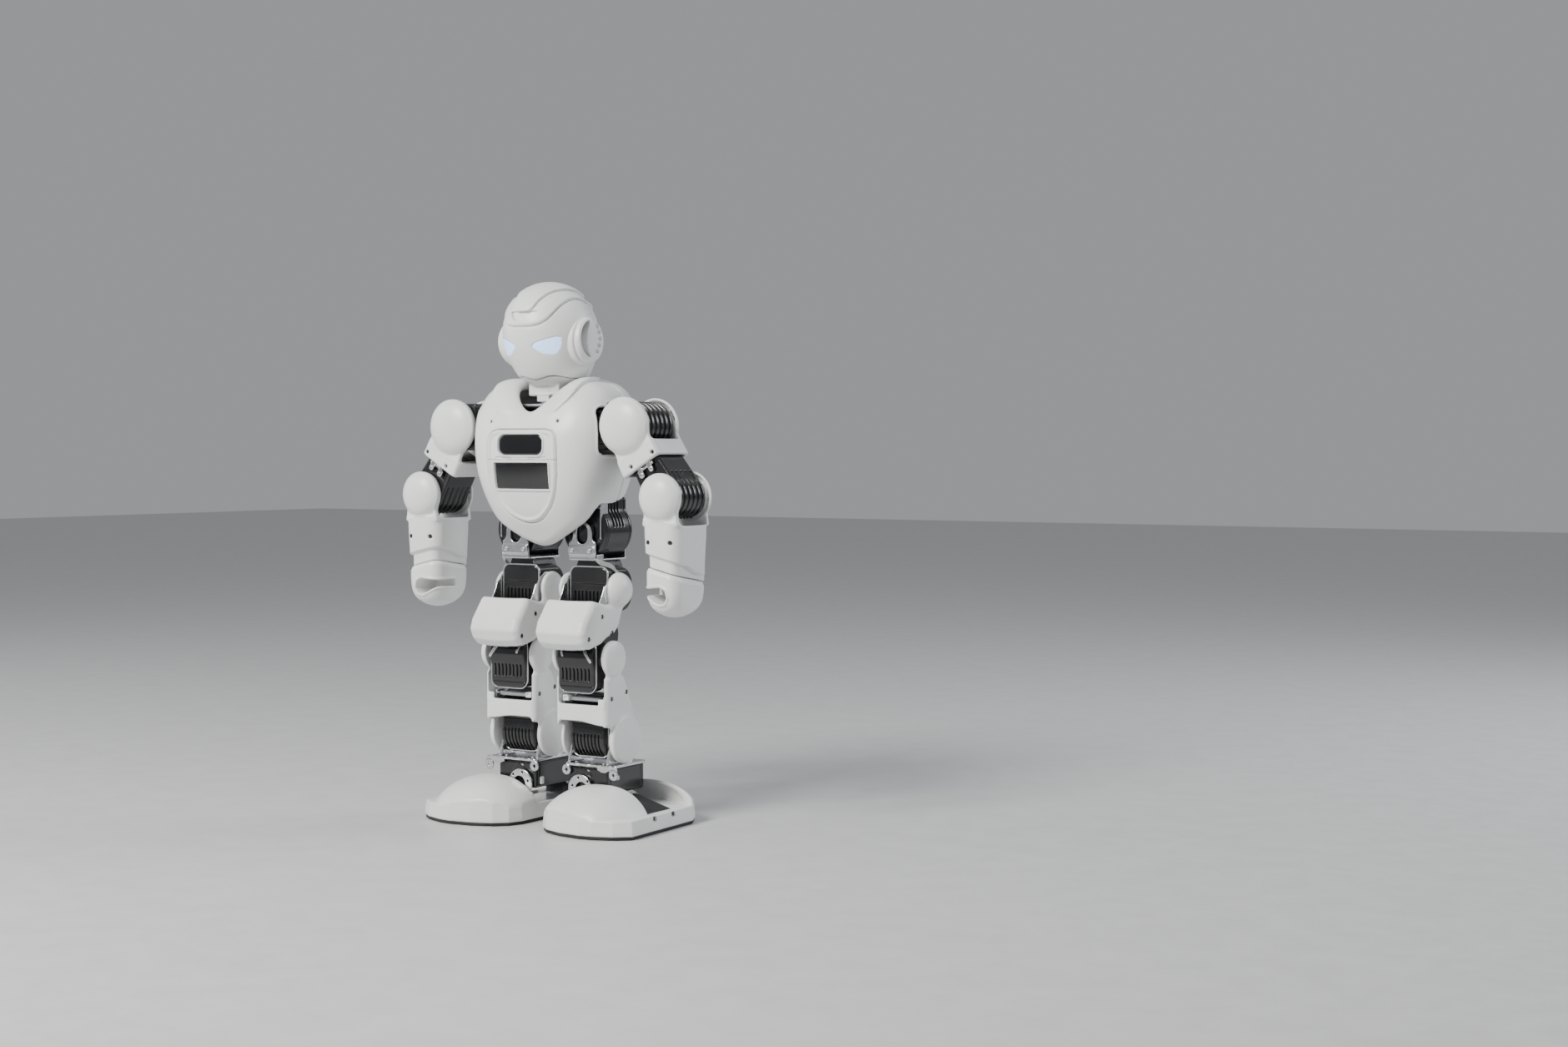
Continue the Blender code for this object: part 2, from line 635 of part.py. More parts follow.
def make_feet(pitch, roll):
    y, z = ANKLE_PITCH[1], ANKLE_PITCH[2]
    low, top = 42.6, 44.6
    arm = hull(circle((y, z), 10.5, 20) + [(-12, low), (22, low)])
    bracket = prism(arm, "X", 13.6, 15.8)
    joined(bracket, prism(arm, "X", 47.2, 49.4), box((13.6, -14, low), (49.4, 28, top)))
    place_pair(bracket, "ankle_bracket", pitch, STEEL)
    servo = soft_box((15, -11, 23), (49, 34, low - GAP), 3, "Y")
    place_pair(servo, "ankle_roll_servo", pitch, BLACK)

    x, _, z = ANKLE_ROLL
    floor = 10.3
    arch = hull(circle((x, z), 6.4, 18) + [(x - 14, floor), (x + 14, floor), (x - 14, 16),
                                           (x + 14, 16)])
    bracket = prism(arch, "Y", -13.6, -11.5)
    joined(bracket, prism(arch, "Y", 34.6, 36.0), box((x - 14, -13.6, floor), (x + 14, 36.0, 12.3)))
    place_pair(bracket, "foot_bracket", roll, STEEL)

    recess = (14.5, -14.5, 78.0, 37.0)
    shell = prism(foot_outline(0), "Z", SOLE + GAP, FOOT_TOP)
    toe = ellipsoid((50.5, -14.5, 11.0), (39.0, 40.0, 21.0))
    joined(shell, common(toe, box((0, -80, 8), (100, recess[1], 60))))
    heel = ellipsoid((50.8, 37.0, 11.0), (38.0, 18.5, 18.0))
    joined(shell, common(heel, box((0, recess[3], 8), (100, 80, 60))))
    cut(shell, box((recess[0], recess[1], -5), (recess[2], recess[3], 60)))
    place_pair(shell, "foot_shell", roll, WHITE)

    sole = prism(foot_outline(0.8), "Z", 0, SOLE)
    joined(sole, box((recess[0] + GAP, recess[1] + GAP, 1),
                     (recess[2] - GAP, recess[3] - GAP, floor - GAP)))
    place_pair(sole, "foot_sole", roll, RUBBER)


def make_legs():
    roll = joint_pair("hip_roll", HIP_ROLL)
    pitch = joint_pair("hip_pitch", HIP_PITCH, roll)
    knee = joint_pair("knee", KNEE, pitch)
    ankle = joint_pair("ankle_pitch", ANKLE_PITCH, knee)
    ankle_roll = joint_pair("ankle_roll", ANKLE_ROLL, ankle)
    make_hips_and_thighs(roll, pitch)
    make_shanks(knee)
    make_feet(ankle, ankle_roll)


def main():
    for obj in list(bpy.data.objects):
        bpy.data.objects.remove(obj)
    make_torso()
    make_head()
    make_arms()
    make_legs()


main()
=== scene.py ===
"""The looks of the small walking humanoid robot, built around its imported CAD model.

Every moulded or pressed piece is described by a signed distance in millimetres, which is negative
inside it, and meshed from that. A left-hand piece is built once and mirrored for the right hand.
"""

import math

import bpy
import numpy as np
from mathutils import Matrix, Vector
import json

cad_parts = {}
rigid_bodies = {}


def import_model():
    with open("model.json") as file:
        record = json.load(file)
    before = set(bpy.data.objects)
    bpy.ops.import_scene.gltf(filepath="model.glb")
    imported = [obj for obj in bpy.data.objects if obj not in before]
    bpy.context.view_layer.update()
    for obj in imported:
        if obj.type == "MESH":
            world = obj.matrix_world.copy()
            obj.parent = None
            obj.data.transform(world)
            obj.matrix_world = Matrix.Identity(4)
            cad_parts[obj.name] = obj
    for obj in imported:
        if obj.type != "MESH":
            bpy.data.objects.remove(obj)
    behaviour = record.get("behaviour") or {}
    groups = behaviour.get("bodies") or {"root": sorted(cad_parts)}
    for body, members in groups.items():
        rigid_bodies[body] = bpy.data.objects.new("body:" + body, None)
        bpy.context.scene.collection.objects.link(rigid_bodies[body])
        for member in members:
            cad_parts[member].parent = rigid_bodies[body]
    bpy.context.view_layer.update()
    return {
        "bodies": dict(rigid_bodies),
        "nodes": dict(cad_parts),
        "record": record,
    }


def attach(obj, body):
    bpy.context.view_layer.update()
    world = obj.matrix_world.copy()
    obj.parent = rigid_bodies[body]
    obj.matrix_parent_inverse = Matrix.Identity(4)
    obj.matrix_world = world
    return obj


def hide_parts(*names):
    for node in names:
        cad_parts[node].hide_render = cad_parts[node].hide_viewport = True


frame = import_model()

MILLIMETRE = 0.001
COARSE = 1.0  # how much wider the sampling steps are while trying things


# --- distances ------------------------------------------------------------------------------
# A field takes the coordinates (x, y, z) as arrays and returns distances. Fields are combined
# with maximum (common), minimum (join) and the soft versions below, which leave a round edge.


def soft_min(a, b, radius):
    mix = np.clip(0.5 + 0.5 * (b - a) / radius, 0.0, 1.0)
    return b + (a - b) * mix - radius * mix * (1.0 - mix)


def soft_max(a, b, radius):
    return -soft_min(-a, -b, radius)


def join(*fields, round_to=0.0):
    total = fields[0]
    for field in fields[1:]:
        total = soft_min(total, field, round_to) if round_to else np.minimum(total, field)
    return total


def common(*fields, round_to=0.0):
    total = fields[0]
    for field in fields[1:]:
        total = soft_max(total, field, round_to) if round_to else np.maximum(total, field)
    return total


def cut(body, *tools, round_to=0.0):
    for tool in tools:
        body = soft_max(body, -tool, round_to) if round_to else np.maximum(body, -tool)
    return body


def groove(body, line, width, depth):
    """A round-bottomed groove in the surface of a body, where another field is near zero."""
    channel = np.sqrt((np.abs(line) / (width / 2)) ** 2 + (body / depth) ** 2) - 1.0
    return soft_max(body, -channel * min(width / 2, depth), 0.25)


def ball(p, centre, radius):
    return np.sqrt(sum((a - c) ** 2 for a, c in zip(p, centre))) - radius


def egg(p, centre, radii):
    """An ellipsoid. The distance is exact on its surface only."""
    near = np.sqrt(sum(((a - c) / r) ** 2 for a, c, r in zip(p, centre, radii)))
    slope = np.sqrt(sum(((a - c) / (r * r)) ** 2 for a, c, r in zip(p, centre, radii)))
    return near * (near - 1.0) / np.maximum(slope, 1e-6)


def block(p, low, high, radius=0.0):
    """A box from low to high with round edges."""
    q = [np.abs(a - (l + h) / 2) - (h - l) / 2 + radius for a, l, h in zip(p, low, high)]
    outside = np.sqrt(sum(np.maximum(a, 0.0) ** 2 for a in q))
    return outside + np.minimum(np.maximum(np.maximum(q[0], q[1]), q[2]), 0.0) - radius


def pushed(flat, across, low, high, radius=0.0):
    """A flat distance pushed from low to high along another axis, with round edges."""
    side = np.abs(across - (low + high) / 2) - (high - low) / 2 + radius
    flat = flat + radius
    outside = np.sqrt(np.maximum(flat, 0.0) ** 2 + np.maximum(side, 0.0) ** 2)
    return outside + np.minimum(np.maximum(flat, side), 0.0) - radius


def disc(a, b, centre, radius):
    return np.sqrt((a - centre[0]) ** 2 + (b - centre[1]) ** 2) - radius


def stadium(a, b, start, end, radius):
    """Everything within a radius of the segment from start to end, in a plane."""
    da, db = end[0] - start[0], end[1] - start[1]
    along = np.clip(((a - start[0]) * da + (b - start[1]) * db) / (da * da + db * db), 0, 1)
    return np.sqrt((a - start[0] - along * da) ** 2 + (b - start[1] - along * db) ** 2) - radius


def rectangle(a, b, low, high, radius=0.0):
    qa = np.abs(a - (low[0] + high[0]) / 2) - (high[0] - low[0]) / 2 + radius
    qb = np.abs(b - (low[1] + high[1]) / 2) - (high[1] - low[1]) / 2 + radius
    outside = np.sqrt(np.maximum(qa, 0.0) ** 2 + np.maximum(qb, 0.0) ** 2)
    return outside + np.minimum(np.maximum(qa, qb), 0.0) - radius


def outline(a, b, points):
    """The exact distance to a closed outline in a plane, negative inside."""
    nearest = None
    inside = None
    for (a0, b0), (a1, b1) in zip(points, points[1:] + points[:1]):
        ea, eb = a1 - a0, b1 - b0
        wa, wb = a - a0, b - b0
        t = np.clip((wa * ea + wb * eb) / (ea * ea + eb * eb), 0.0, 1.0)
        gap = (wa - ea * t) ** 2 + (wb - eb * t) ** 2
        crosses = ((b0 <= b) & (b < b1) | (b1 <= b) & (b < b0)) & (
            wa * (eb if eb else 1.0) * np.sign(eb if eb else 1.0)
            < ea * wb * np.sign(eb if eb else 1.0))
        nearest = gap if nearest is None else np.minimum(nearest, gap)
        inside = crosses if inside is None else inside ^ crosses
    return np.where(inside, -1.0, 1.0) * np.sqrt(nearest)


def rod(p, axis, centre, radius, low, high, edge=0.0):
    """A round bar along one axis."""
    others = [i for i in range(3) if i != "xyz".index(axis)]
    flat = disc(p[others[0]], p[others[1]], [centre[i] for i in others], radius)
    return pushed(flat, p["xyz".index(axis)], low, high, edge)


def curve(t, keys):
    """A smooth curve through keys of (place, value), read at t."""
    places = np.array([k[0] for k in keys], float)
    values = np.array([k[1] for k in keys], float)
    slopes = np.gradient(values, places)
    t = np.clip(t, places[0], places[-1])
    i = np.clip(np.searchsorted(places, t) - 1, 0, len(places) - 2)
    h = places[i + 1] - places[i]
    s = (t - places[i]) / h
    return ((2 * s**3 - 3 * s**2 + 1) * values[i] + (s**3 - 2 * s**2 + s) * h * slopes[i]
            + (3 * s**2 - 2 * s**3) * values[i + 1] + (s**3 - s**2) * h * slopes[i + 1])


def true_distance(field, p, reach=0.25):
    """Divide a field by its own slope, so that it counts millimetres near its surface."""
    x, y, z = p
    value = field(p)
    slope = np.sqrt((field((x + reach, y, z)) - value) ** 2
                    + (field((x, y + reach, z)) - value) ** 2
                    + (field((x, y, z + reach)) - value) ** 2) / reach
    return value / np.maximum(slope, 0.2 * np.median(slope))


# --- meshes ---------------------------------------------------------------------------------


def surface(field, low, high, step):
    """Vertices and quads of the surface where a field is zero, by the surface nets method."""
    step = step * COARSE
    axes = [np.arange(a - 1.3 * step, b + 2.3 * step, step) for a, b in zip(low, high)]
    shape = tuple(len(a) for a in axes)
    values = np.broadcast_to(field(np.ix_(*axes)), shape).astype(np.float32)
    inside = values < 0
    corners = np.zeros(tuple(n - 1 for n in shape), np.uint8)
    for i in (0, 1):
        for j in (0, 1):
            for k in (0, 1):
                corners += inside[i:shape[0] - 1 + i, j:shape[1] - 1 + j, k:shape[2] - 1 + k]
    active = (corners > 0) & (corners < 8)
    cells = np.argwhere(active)
    number = np.full(active.shape, -1, np.int64)
    number[active] = np.arange(len(cells))
    place = np.zeros((len(cells), 3))
    count = np.zeros(len(cells))
    for axis in range(3):
        u, v = [i for i in range(3) if i != axis]
        for du in (0, 1):
            for dv in (0, 1):
                start = cells.copy()
                start[:, u] += du
                start[:, v] += dv
                end = start.copy()
                end[:, axis] += 1
                a, b = values[tuple(start.T)], values[tuple(end.T)]
                crosses = (a < 0) != (b < 0)
                t = np.where(crosses, a / np.where(crosses, a - b, 1.0), 0.0)
                place[crosses] += (start - cells)[crosses]
                place[crosses, axis] += t[crosses]
                count += crosses
    points = (cells + place / count[:, None]) * step + [a[0] for a in axes]
    quads = []
    for axis in range(3):
        u, v = [(1, 2), (2, 0), (0, 1)][axis]
        here = inside.take(range(shape[axis] - 1), axis)
        there = inside.take(range(1, shape[axis]), axis)
        for first, flip in ((here & ~there, False), (there & ~here, True)):
            nodes = np.argwhere(first)
            keep = (nodes[:, u] > 0) & (nodes[:, v] > 0)
            keep &= (nodes[:, u] < shape[u] - 1) & (nodes[:, v] < shape[v] - 1)
            nodes = nodes[keep]
            ring = []
            for du, dv in ((0, 0), (1, 0), (1, 1), (0, 1)):
                cell = nodes.copy()
                cell[:, u] -= du
                cell[:, v] -= dv
                ring.append(number[tuple(cell.T)])
            quad = np.stack(ring, 1)
            quads.append(quad[:, ::-1] if flip else quad)
    return settle(field, points, step), np.concatenate(quads)


def settle(field, points, step, rounds=3):
    """Move points onto the surface along its slope."""
    reach = 0.05
    for _ in range(rounds):
        x, y, z = points.T
        value = field((x, y, z))
        slope = np.stack([
            field((x + reach, y, z)) - field((x - reach, y, z)),
            field((x, y + reach, z)) - field((x, y - reach, z)),
            field((x, y, z + reach)) - field((x, y, z - reach)),
        ], 1) / (2 * reach)
        size = np.maximum((slope**2).sum(1), 0.25)
        move = -(value / size)[:, None] * slope
        length = np.sqrt((move**2).sum(1, keepdims=True))
        points = points + move * np.minimum(1.0, 0.4 * step / np.maximum(length, 1e-9))
    return points


def mesh_of(name, points, quads):
    mesh = bpy.data.meshes.new(name)
    mesh.vertices.add(len(points))
    mesh.vertices.foreach_set("co", (points * MILLIMETRE).astype(np.float32).ravel())
    mesh.loops.add(len(quads) * 4)
    mesh.loops.foreach_set("vertex_index", quads.astype(np.int32).ravel())
    mesh.polygons.add(len(quads))
    mesh.polygons.foreach_set("loop_start", np.arange(0, len(quads) * 4, 4, dtype=np.int32))
    mesh.update(calc_edges=True)
    mesh.shade_smooth()
    return mesh


def show(name, mesh, slot, body, nodes=(), look=None):
    """Place a mesh on a body. Its look is its slot's unless it is given."""
    obj = bpy.data.objects.new(name, mesh)
    bpy.context.scene.collection.objects.link(obj)
    if not mesh.materials:
        mesh.materials.append(look or SLOT_LOOKS[slot])
    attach(obj, body)
    if nodes:
        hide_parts(*nodes)
    return obj


def piece(name, field, box, step, slot, body, nodes=(), look=None):
    points, quads = surface(field, *box, step)
    return show(name, mesh_of(name, points, quads), slot, body, nodes, look)


def pair(name, field, box, step, slot, body, nodes=(), look=None):
    """A left-hand piece and its mirror image. body and nodes lack their _left and _right."""
    points, quads = surface(field, *box, step)
    for side, sign in (("left", 1), ("right", -1)):
        placed = points * (sign, 1, 1)
        mesh = mesh_of(f"{side}_{name}", placed, quads if sign > 0 else quads[:, ::-1])
        home = body if body in frame["bodies"] else f"{body}_{side}"
        show(f"{side}_{name}", mesh, slot, home, [f"{n}_{side}" for n in nodes], look)


# --- materials ------------------------------------------------------------------------------


class Nodes:
    """A material and short calls that add nodes to it."""

    def __init__(self, name):
        self.material = bpy.data.materials.new(name)
        self.material.use_nodes = True
        self.tree = self.material.node_tree
        self.shader = self.tree.nodes["Principled BSDF"]
        self.place = self.add("ShaderNodeTexCoord").outputs["Object"]

    def add(self, kind, inputs=(), **settings):
        node = self.tree.nodes.new(kind)
        for key, value in settings.items():
            setattr(node, key, value)
        for key, value in dict(inputs).items():
            self.put(node.inputs[key], value)
        return node

    def put(self, socket, value):
        if isinstance(value, bpy.types.NodeSocket):
            self.tree.links.new(value, socket)
        else:
            socket.default_value = value

    def noise(self, scale, detail=2.0, stretch=None):
        place = self.place
        if stretch:
            place = self.add("ShaderNodeMapping", {"Vector": place, "Scale": stretch}).outputs[0]
        node = self.add("ShaderNodeTexNoise", {"Vector": place, "Scale": scale, "Detail": detail})
        return node.outputs["Fac"]

    def ramp(self, source, low, high, start=0.3, end=0.7):
        node = self.add("ShaderNodeMapRange", {"Value": source, "From Min": start, "From Max": end,
                                               "To Min": low, "To Max": high})
        return node.outputs["Result"]

    def mix(self, factor, a, b):
        node = self.add("ShaderNodeMix", {"Factor": factor}, data_type="RGBA")
        self.put(node.inputs["A"], a)
        self.put(node.inputs["B"], b)
        return node.outputs["Result"]

    def bump(self, height, strength, distance):
        node = self.add("ShaderNodeBump", {"Height": height, "Strength": strength,
                                           "Distance": distance})
        self.put(self.shader.inputs["Normal"], node.outputs["Normal"])

    def set(self, **inputs):
        for key, value in inputs.items():
            self.put(self.shader.inputs[key.replace("_", " ")], value)


def plastic(name, colour, darker, roughness, grain, grain_depth=0.00002, coat=0.0):
    """Moulded plastic: faint colour drift, patches of different gloss and a fine grain."""
    n = Nodes(name)
    drift = n.ramp(n.noise(35.0, 3.0), 0.0, 1.0)
    n.set(Base_Color=n.mix(drift, (*darker, 1.0), (*colour, 1.0)))
    n.set(Roughness=n.ramp(n.noise(90.0, 4.0), roughness - 0.05, roughness + 0.06))
    n.set(Coat_Weight=coat, Coat_Roughness=0.08)
    n.bump(n.noise(grain, 2.0), 0.25, grain_depth)
    return n.material


def plated_metal(name, colour, roughness):
    """Plated sheet: fine drawn lines and slightly cloudy gloss."""
    n = Nodes(name)
    n.set(Metallic=1.0)
    cloud = n.noise(60.0, 2.0)
    n.set(Base_Color=n.mix(n.ramp(cloud, 0.0, 1.0), tuple(c * 0.93 for c in colour) + (1.0,),
                           (*colour, 1.0)))
    lines = n.noise(2600.0, 2.0, (1.0, 1.0, 0.12))
    n.set(Roughness=n.ramp(lines, roughness - 0.04, roughness + 0.06))
    n.bump(lines, 0.05, 0.00001)
    return n.material


def eye_light():
    """A frosted light guide over small lamps, a little bluer between them."""
    n = Nodes("eye_light")
    spots = n.add("ShaderNodeTexVoronoi", {"Vector": n.place, "Scale": 900.0})
    lamp = n.ramp(spots.outputs["Distance"], 1.0, 0.0, 0.1, 0.7)
    cloud = n.ramp(n.noise(110.0), 0.0, 1.0)
    blue = n.mix(cloud, (0.40, 0.62, 1.0, 1.0), (0.50, 0.70, 1.0, 1.0))
    colour = n.mix(lamp, blue, (0.62, 0.79, 1.0, 1.0))
    n.set(Base_Color=(0.45, 0.62, 1.0, 1.0), Roughness=0.25, Emission_Color=colour)
    n.set(Emission_Strength=1.25)
    return n.material


WHITE = plastic("white_shell", (0.80, 0.80, 0.79), (0.74, 0.745, 0.74), 0.36, 2600.0)
BLACK = plastic("servo_case", (0.014, 0.014, 0.015), (0.008, 0.008, 0.009), 0.20, 1800.0, coat=0.4)
TRIM = plastic("black_trim", (0.020, 0.020, 0.021), (0.012, 0.012, 0.013), 0.48, 1500.0)
RUBBER = plastic("sole_rubber", (0.020, 0.020, 0.021), (0.012, 0.012, 0.012), 0.72, 900.0, 0.00005)
SMOKE = plastic("smoked_window", (0.004, 0.004, 0.005), (0.002, 0.002, 0.003), 0.09, 300.0,
                0.000004, coat=0.6)
GREEN = plastic("solder_mask", (0.02, 0.13, 0.05), (0.01, 0.07, 0.03), 0.42, 700.0)
WRAP = plastic("battery_wrap", (0.03, 0.09, 0.24), (0.02, 0.06, 0.18), 0.30, 200.0, 0.0001)
CABLE = plastic("light_cable", (0.50, 0.50, 0.49), (0.42, 0.42, 0.42), 0.42, 1200.0)
METAL = plated_metal("bracket_metal", (0.72, 0.72, 0.73), 0.22)
ALLOY = plated_metal("inner_frame", (0.55, 0.56, 0.58), 0.38)
EYE = eye_light()

SLOT_LOOKS = {
    "white_shell": WHITE, "servo_case": BLACK, "bracket_metal": METAL, "inner_frame": ALLOY,
    "smoked_window": SMOKE, "eye_lens": EYE, "circuit_board": GREEN, "battery_wrap": WRAP,
    "black_trim": TRIM, "sole_rubber": RUBBER,
}


def dress_cad_nodes():
    """Give every CAD node the look of its material slot. Those that are replaced aren't seen."""
    for entry in frame["record"]["subparts"]:
        obj = frame["nodes"][entry["node"]]
        obj.data.materials.clear()
        obj.data.materials.append(SLOT_LOOKS[entry["material_slot"]])


# --- stage ----------------------------------------------------------------------------------


FLOOR_REACH = 6.0


def make_stage():
    mesh = bpy.data.meshes.new("floor")
    far = FLOOR_REACH
    mesh.from_pydata([(-far, -far, 0), (far, -far, 0), (far, far, 0), (-far, far, 0)], [],
                     [(0, 1, 2, 3)])
    floor = bpy.data.objects.new("floor", mesh)
    bpy.context.scene.collection.objects.link(floor)
    mesh.materials.append(plastic("floor", (0.62, 0.62, 0.62), (0.58, 0.58, 0.58), 0.45, 40.0))


def area_light(name, place, target, size, power, colour=(1, 1, 1)):
    lamp = bpy.data.lights.new(name, "AREA")
    lamp.shape = "DISK"
    lamp.size = size
    lamp.energy = power
    lamp.color = colour
    obj = bpy.data.objects.new(name, lamp)
    obj.location = place
    obj.rotation_euler = (Vector(target) - Vector(place)).to_track_quat("-Z", "Y").to_euler()
    bpy.context.scene.collection.objects.link(obj)


def make_lights():
    centre = (0.0, 0.0, 0.2)
    area_light("key", (-0.25, -1.35, 1.25), centre, 0.7, 44.0, (1.0, 0.985, 0.96))
    area_light("fill", (-1.6, -0.5, 0.7), centre, 1.4, 6.0, (0.94, 0.97, 1.0))
    area_light("rim", (1.2, 1.1, 0.9), centre, 0.8, 14.0, (0.92, 0.96, 1.0))
    world = bpy.data.worlds.new("studio")
    world.use_nodes = True
    background = world.node_tree.nodes["Background"]
    background.inputs["Color"].default_value = (0.78, 0.80, 0.83, 1.0)
    background.inputs["Strength"].default_value = 0.42
    bpy.context.scene.world = world


CAMERA_LENS = 50.0
CAMERA_PLACE = (0.9642, -1.2450, 0.268)
CAMERA_HEADING = math.radians(31.9)  # turned to the left from straight ahead along y
CAMERA_TILT = math.radians(1.96)  # downward


def make_camera():
    camera = bpy.data.cameras.new("camera")
    camera.lens = CAMERA_LENS
    camera.sensor_width = 36.0
    camera.clip_start = 0.05
    obj = bpy.data.objects.new("camera", camera)
    bpy.context.scene.collection.objects.link(obj)
    heading, down = CAMERA_HEADING, CAMERA_TILT
    ahead = Vector((-math.sin(heading) * math.cos(down), math.cos(heading) * math.cos(down),
                    -math.sin(down)))
    obj.location = CAMERA_PLACE
    obj.rotation_euler = ahead.to_track_quat("-Z", "Y").to_euler()
    bpy.context.scene.camera = obj


# --- torso ----------------------------------------------------------------------------------

TORSO_WALL = 2.6
TORSO_SPLIT_Y = 4.0  # front shell before it, back shell behind it
TORSO_MIDDLE_Y = -8.0
TORSO_HALF_WIDTH = [(194, 29), (203, 34), (213, 38.8), (223, 43.5), (231, 47.4), (242, 51.8),
                    (259, 56.2), (274, 57.2), (288, 56.9), (304, 55.0), (326, 52)]
TORSO_FRONT = [(192, 14.0), (199, 21.5), (203, 25.0), (208, 28.8), (215.5, 34.3), (224, 39.3),
               (233, 42.7), (242, 44.9), (255, 46.5), (270, 47.0), (281, 46.3), (288, 45.0),
               (300, 42.0), (326, 37.0)]
TORSO_BACK = [(194, 18), (224, 26), (231, 28.6), (242, 31.5), (259, 33.5), (274, 34.5),
              (300, 34.3), (326, 31)]
COLLAR_TILT = math.radians(23)
COLLAR_WIDTH = 12.0
COLLAR_ROLL = 11.0
COLLAR_DEPTH = 8.0  # how far the rolled collar turns down into its hollow
SHIELD_HALF_WIDTH = [(215.5, 0.0), (216.3, 6.0), (218.5, 11.8), (222, 17.0), (227.5, 22.6),
                     (234, 26.6), (241, 28.9), (250, 30.6), (262, 31.1), (271, 31.0), (277, 29.9),
                     (280.5, 26.8), (282, 21.0)]
SHIELD_SEAM_Z = 260.4
UPPER_WINDOW = ((-19.4, 263.8), (19.4, 278), 5.0)
LOWER_WINDOW = [(-23.1, 257.6), (23.1, 257.6), (22.8, 240.6), (-22.8, 240.6)]
SHOULDER_OPENING = ((-27.5, 264), (13, 297), 5.0)
CHEST_HOLE = (29.5, 287.4, 1.1)
BUTTON = (0, 0, 292)
JACK = (16, 0, 240)
SPEAKER = (0, 0, 266)


def fade(t):
    """From 0 at t = 0 to 1 at t = 1, with a soft start and end."""
    t = np.clip(t, 0.0, 1.0)
    return t * t * (3.0 - 2.0 * t)


def torso_sides(p):
    x, y, z = p
    w = curve(z, TORSO_HALF_WIDTH)
    depth = y - TORSO_MIDDLE_Y
    front = curve(z, TORSO_FRONT) + TORSO_MIDDLE_Y
    back = curve(z, TORSO_BACK) - TORSO_MIDDLE_Y
    across = np.abs(x) / w
    fore = (across**3 + (np.maximum(-depth, 0.0) / front) ** 3) ** (1 / 3)
    rear = (across**3.2 + (np.maximum(depth, 0.0) / back) ** 3.2) ** (1 / 3.2)
    return (np.where(depth < 0, fore, rear) - 1.0) * 45.0


def torso_top(p):
    x, y, z = p
    fall = 0.0036 * x**2 + 20.5 * (np.maximum(-10.0 - y, 0.0) / 33.0) ** 2.2
    return z - 320.3 + fall + 1.5 * (np.maximum(y - 12.0, 0.0) / 14.0) ** 2


def collar_opening(p):
    """Distance from the hollow for the neck: a V trough that climbs backward, and a round hole."""
    x, y, z = p
    above = (z - 293.5) * math.cos(COLLAR_TILT) - (y + 45.0) * math.sin(COLLAR_TILT)
    trough = (np.sqrt(x**2 + 64.0) - 8.0) * 0.62 - (above + 2.0) * 0.785
    trough = soft_max(trough, y - 4.0, 8.0)
    trough = soft_max(trough, np.abs(x) - 27.0, 6.0)
    hole = np.maximum(disc(x, y, (0, -11), 21.0) + 0 * z, 288.0 - z)
    return soft_min(trough, hole, 5.0)


def torso_outer(p):
    x, y, z = p
    body = true_distance(torso_sides, p)
    top = true_distance(torso_top, p)
    body = soft_max(body, top, 14.0)
    underside = 198.3 + 0.62 * (np.sqrt(x**2 + 64.0) - 8.0) + 0.09 * (y + 20.0)
    return soft_max(body, (underside - z) * 0.85, 5.0)


def torso_lip(p):
    """How far the collar's rim stands out of the torso."""
    x, y, z = p
    near = fade((COLLAR_WIDTH - collar_opening(p)) / 0.9)
    return near * (1.0 + 1.4 * fade((z - 296.0) / 20.0)) * fade((z - 291.0) / 6.0)


def shoulder_opening(p):
    x, y, z = p
    low, high, radius = SHOULDER_OPENING
    return pushed(rectangle(y, z, low, high, radius), np.abs(x), 38.0, 80.0)


def leg_space(p):
    return block(p, (-46, -17.5, 180), (46, 25, 236), 5.0)


def torso_shell(p, lip):
    x, y, z = p
    outer = torso_outer(p)
    proud = outer - lip(p) if lip else outer
    rim = np.abs(shoulder_opening(p) - 1.2) - 1.2
    proud = proud - 0.5 * fade(-rim / 0.8)
    rolled = soft_max(proud, -collar_opening(p), COLLAR_ROLL)
    inner = soft_max(outer, -collar_opening(p), COLLAR_ROLL) + TORSO_WALL
    shell = soft_max(rolled, -inner, 1.0)
    shell = soft_max(shell, -(outer + COLLAR_DEPTH), 1.0)
    return cut(shell, shoulder_opening(p), leg_space(p), round_to=1.4)


def shield(x, z, inset=0.0):
    half = [(w, z0) for z0, w in SHIELD_HALF_WIDTH]
    points = half + [(-w, z0) for w, z0 in half[:0:-1]]
    return outline(x, z, points) + inset


def chest_field(p):
    x, y, z = p
    shell = torso_shell(p, torso_lip)
    shell = soft_max(shell, y - TORSO_SPLIT_Y + 0.25, 0.8)
    front_only = y + 26.0
    shell = soft_max(shell, -np.maximum(shield(x, z) + 0 * y, front_only), 0.9)
    holes = np.maximum(disc(np.abs(x), z, CHEST_HOLE[:2], CHEST_HOLE[2]) + 0 * y, front_only)
    return soft_max(shell, -holes, 0.7)


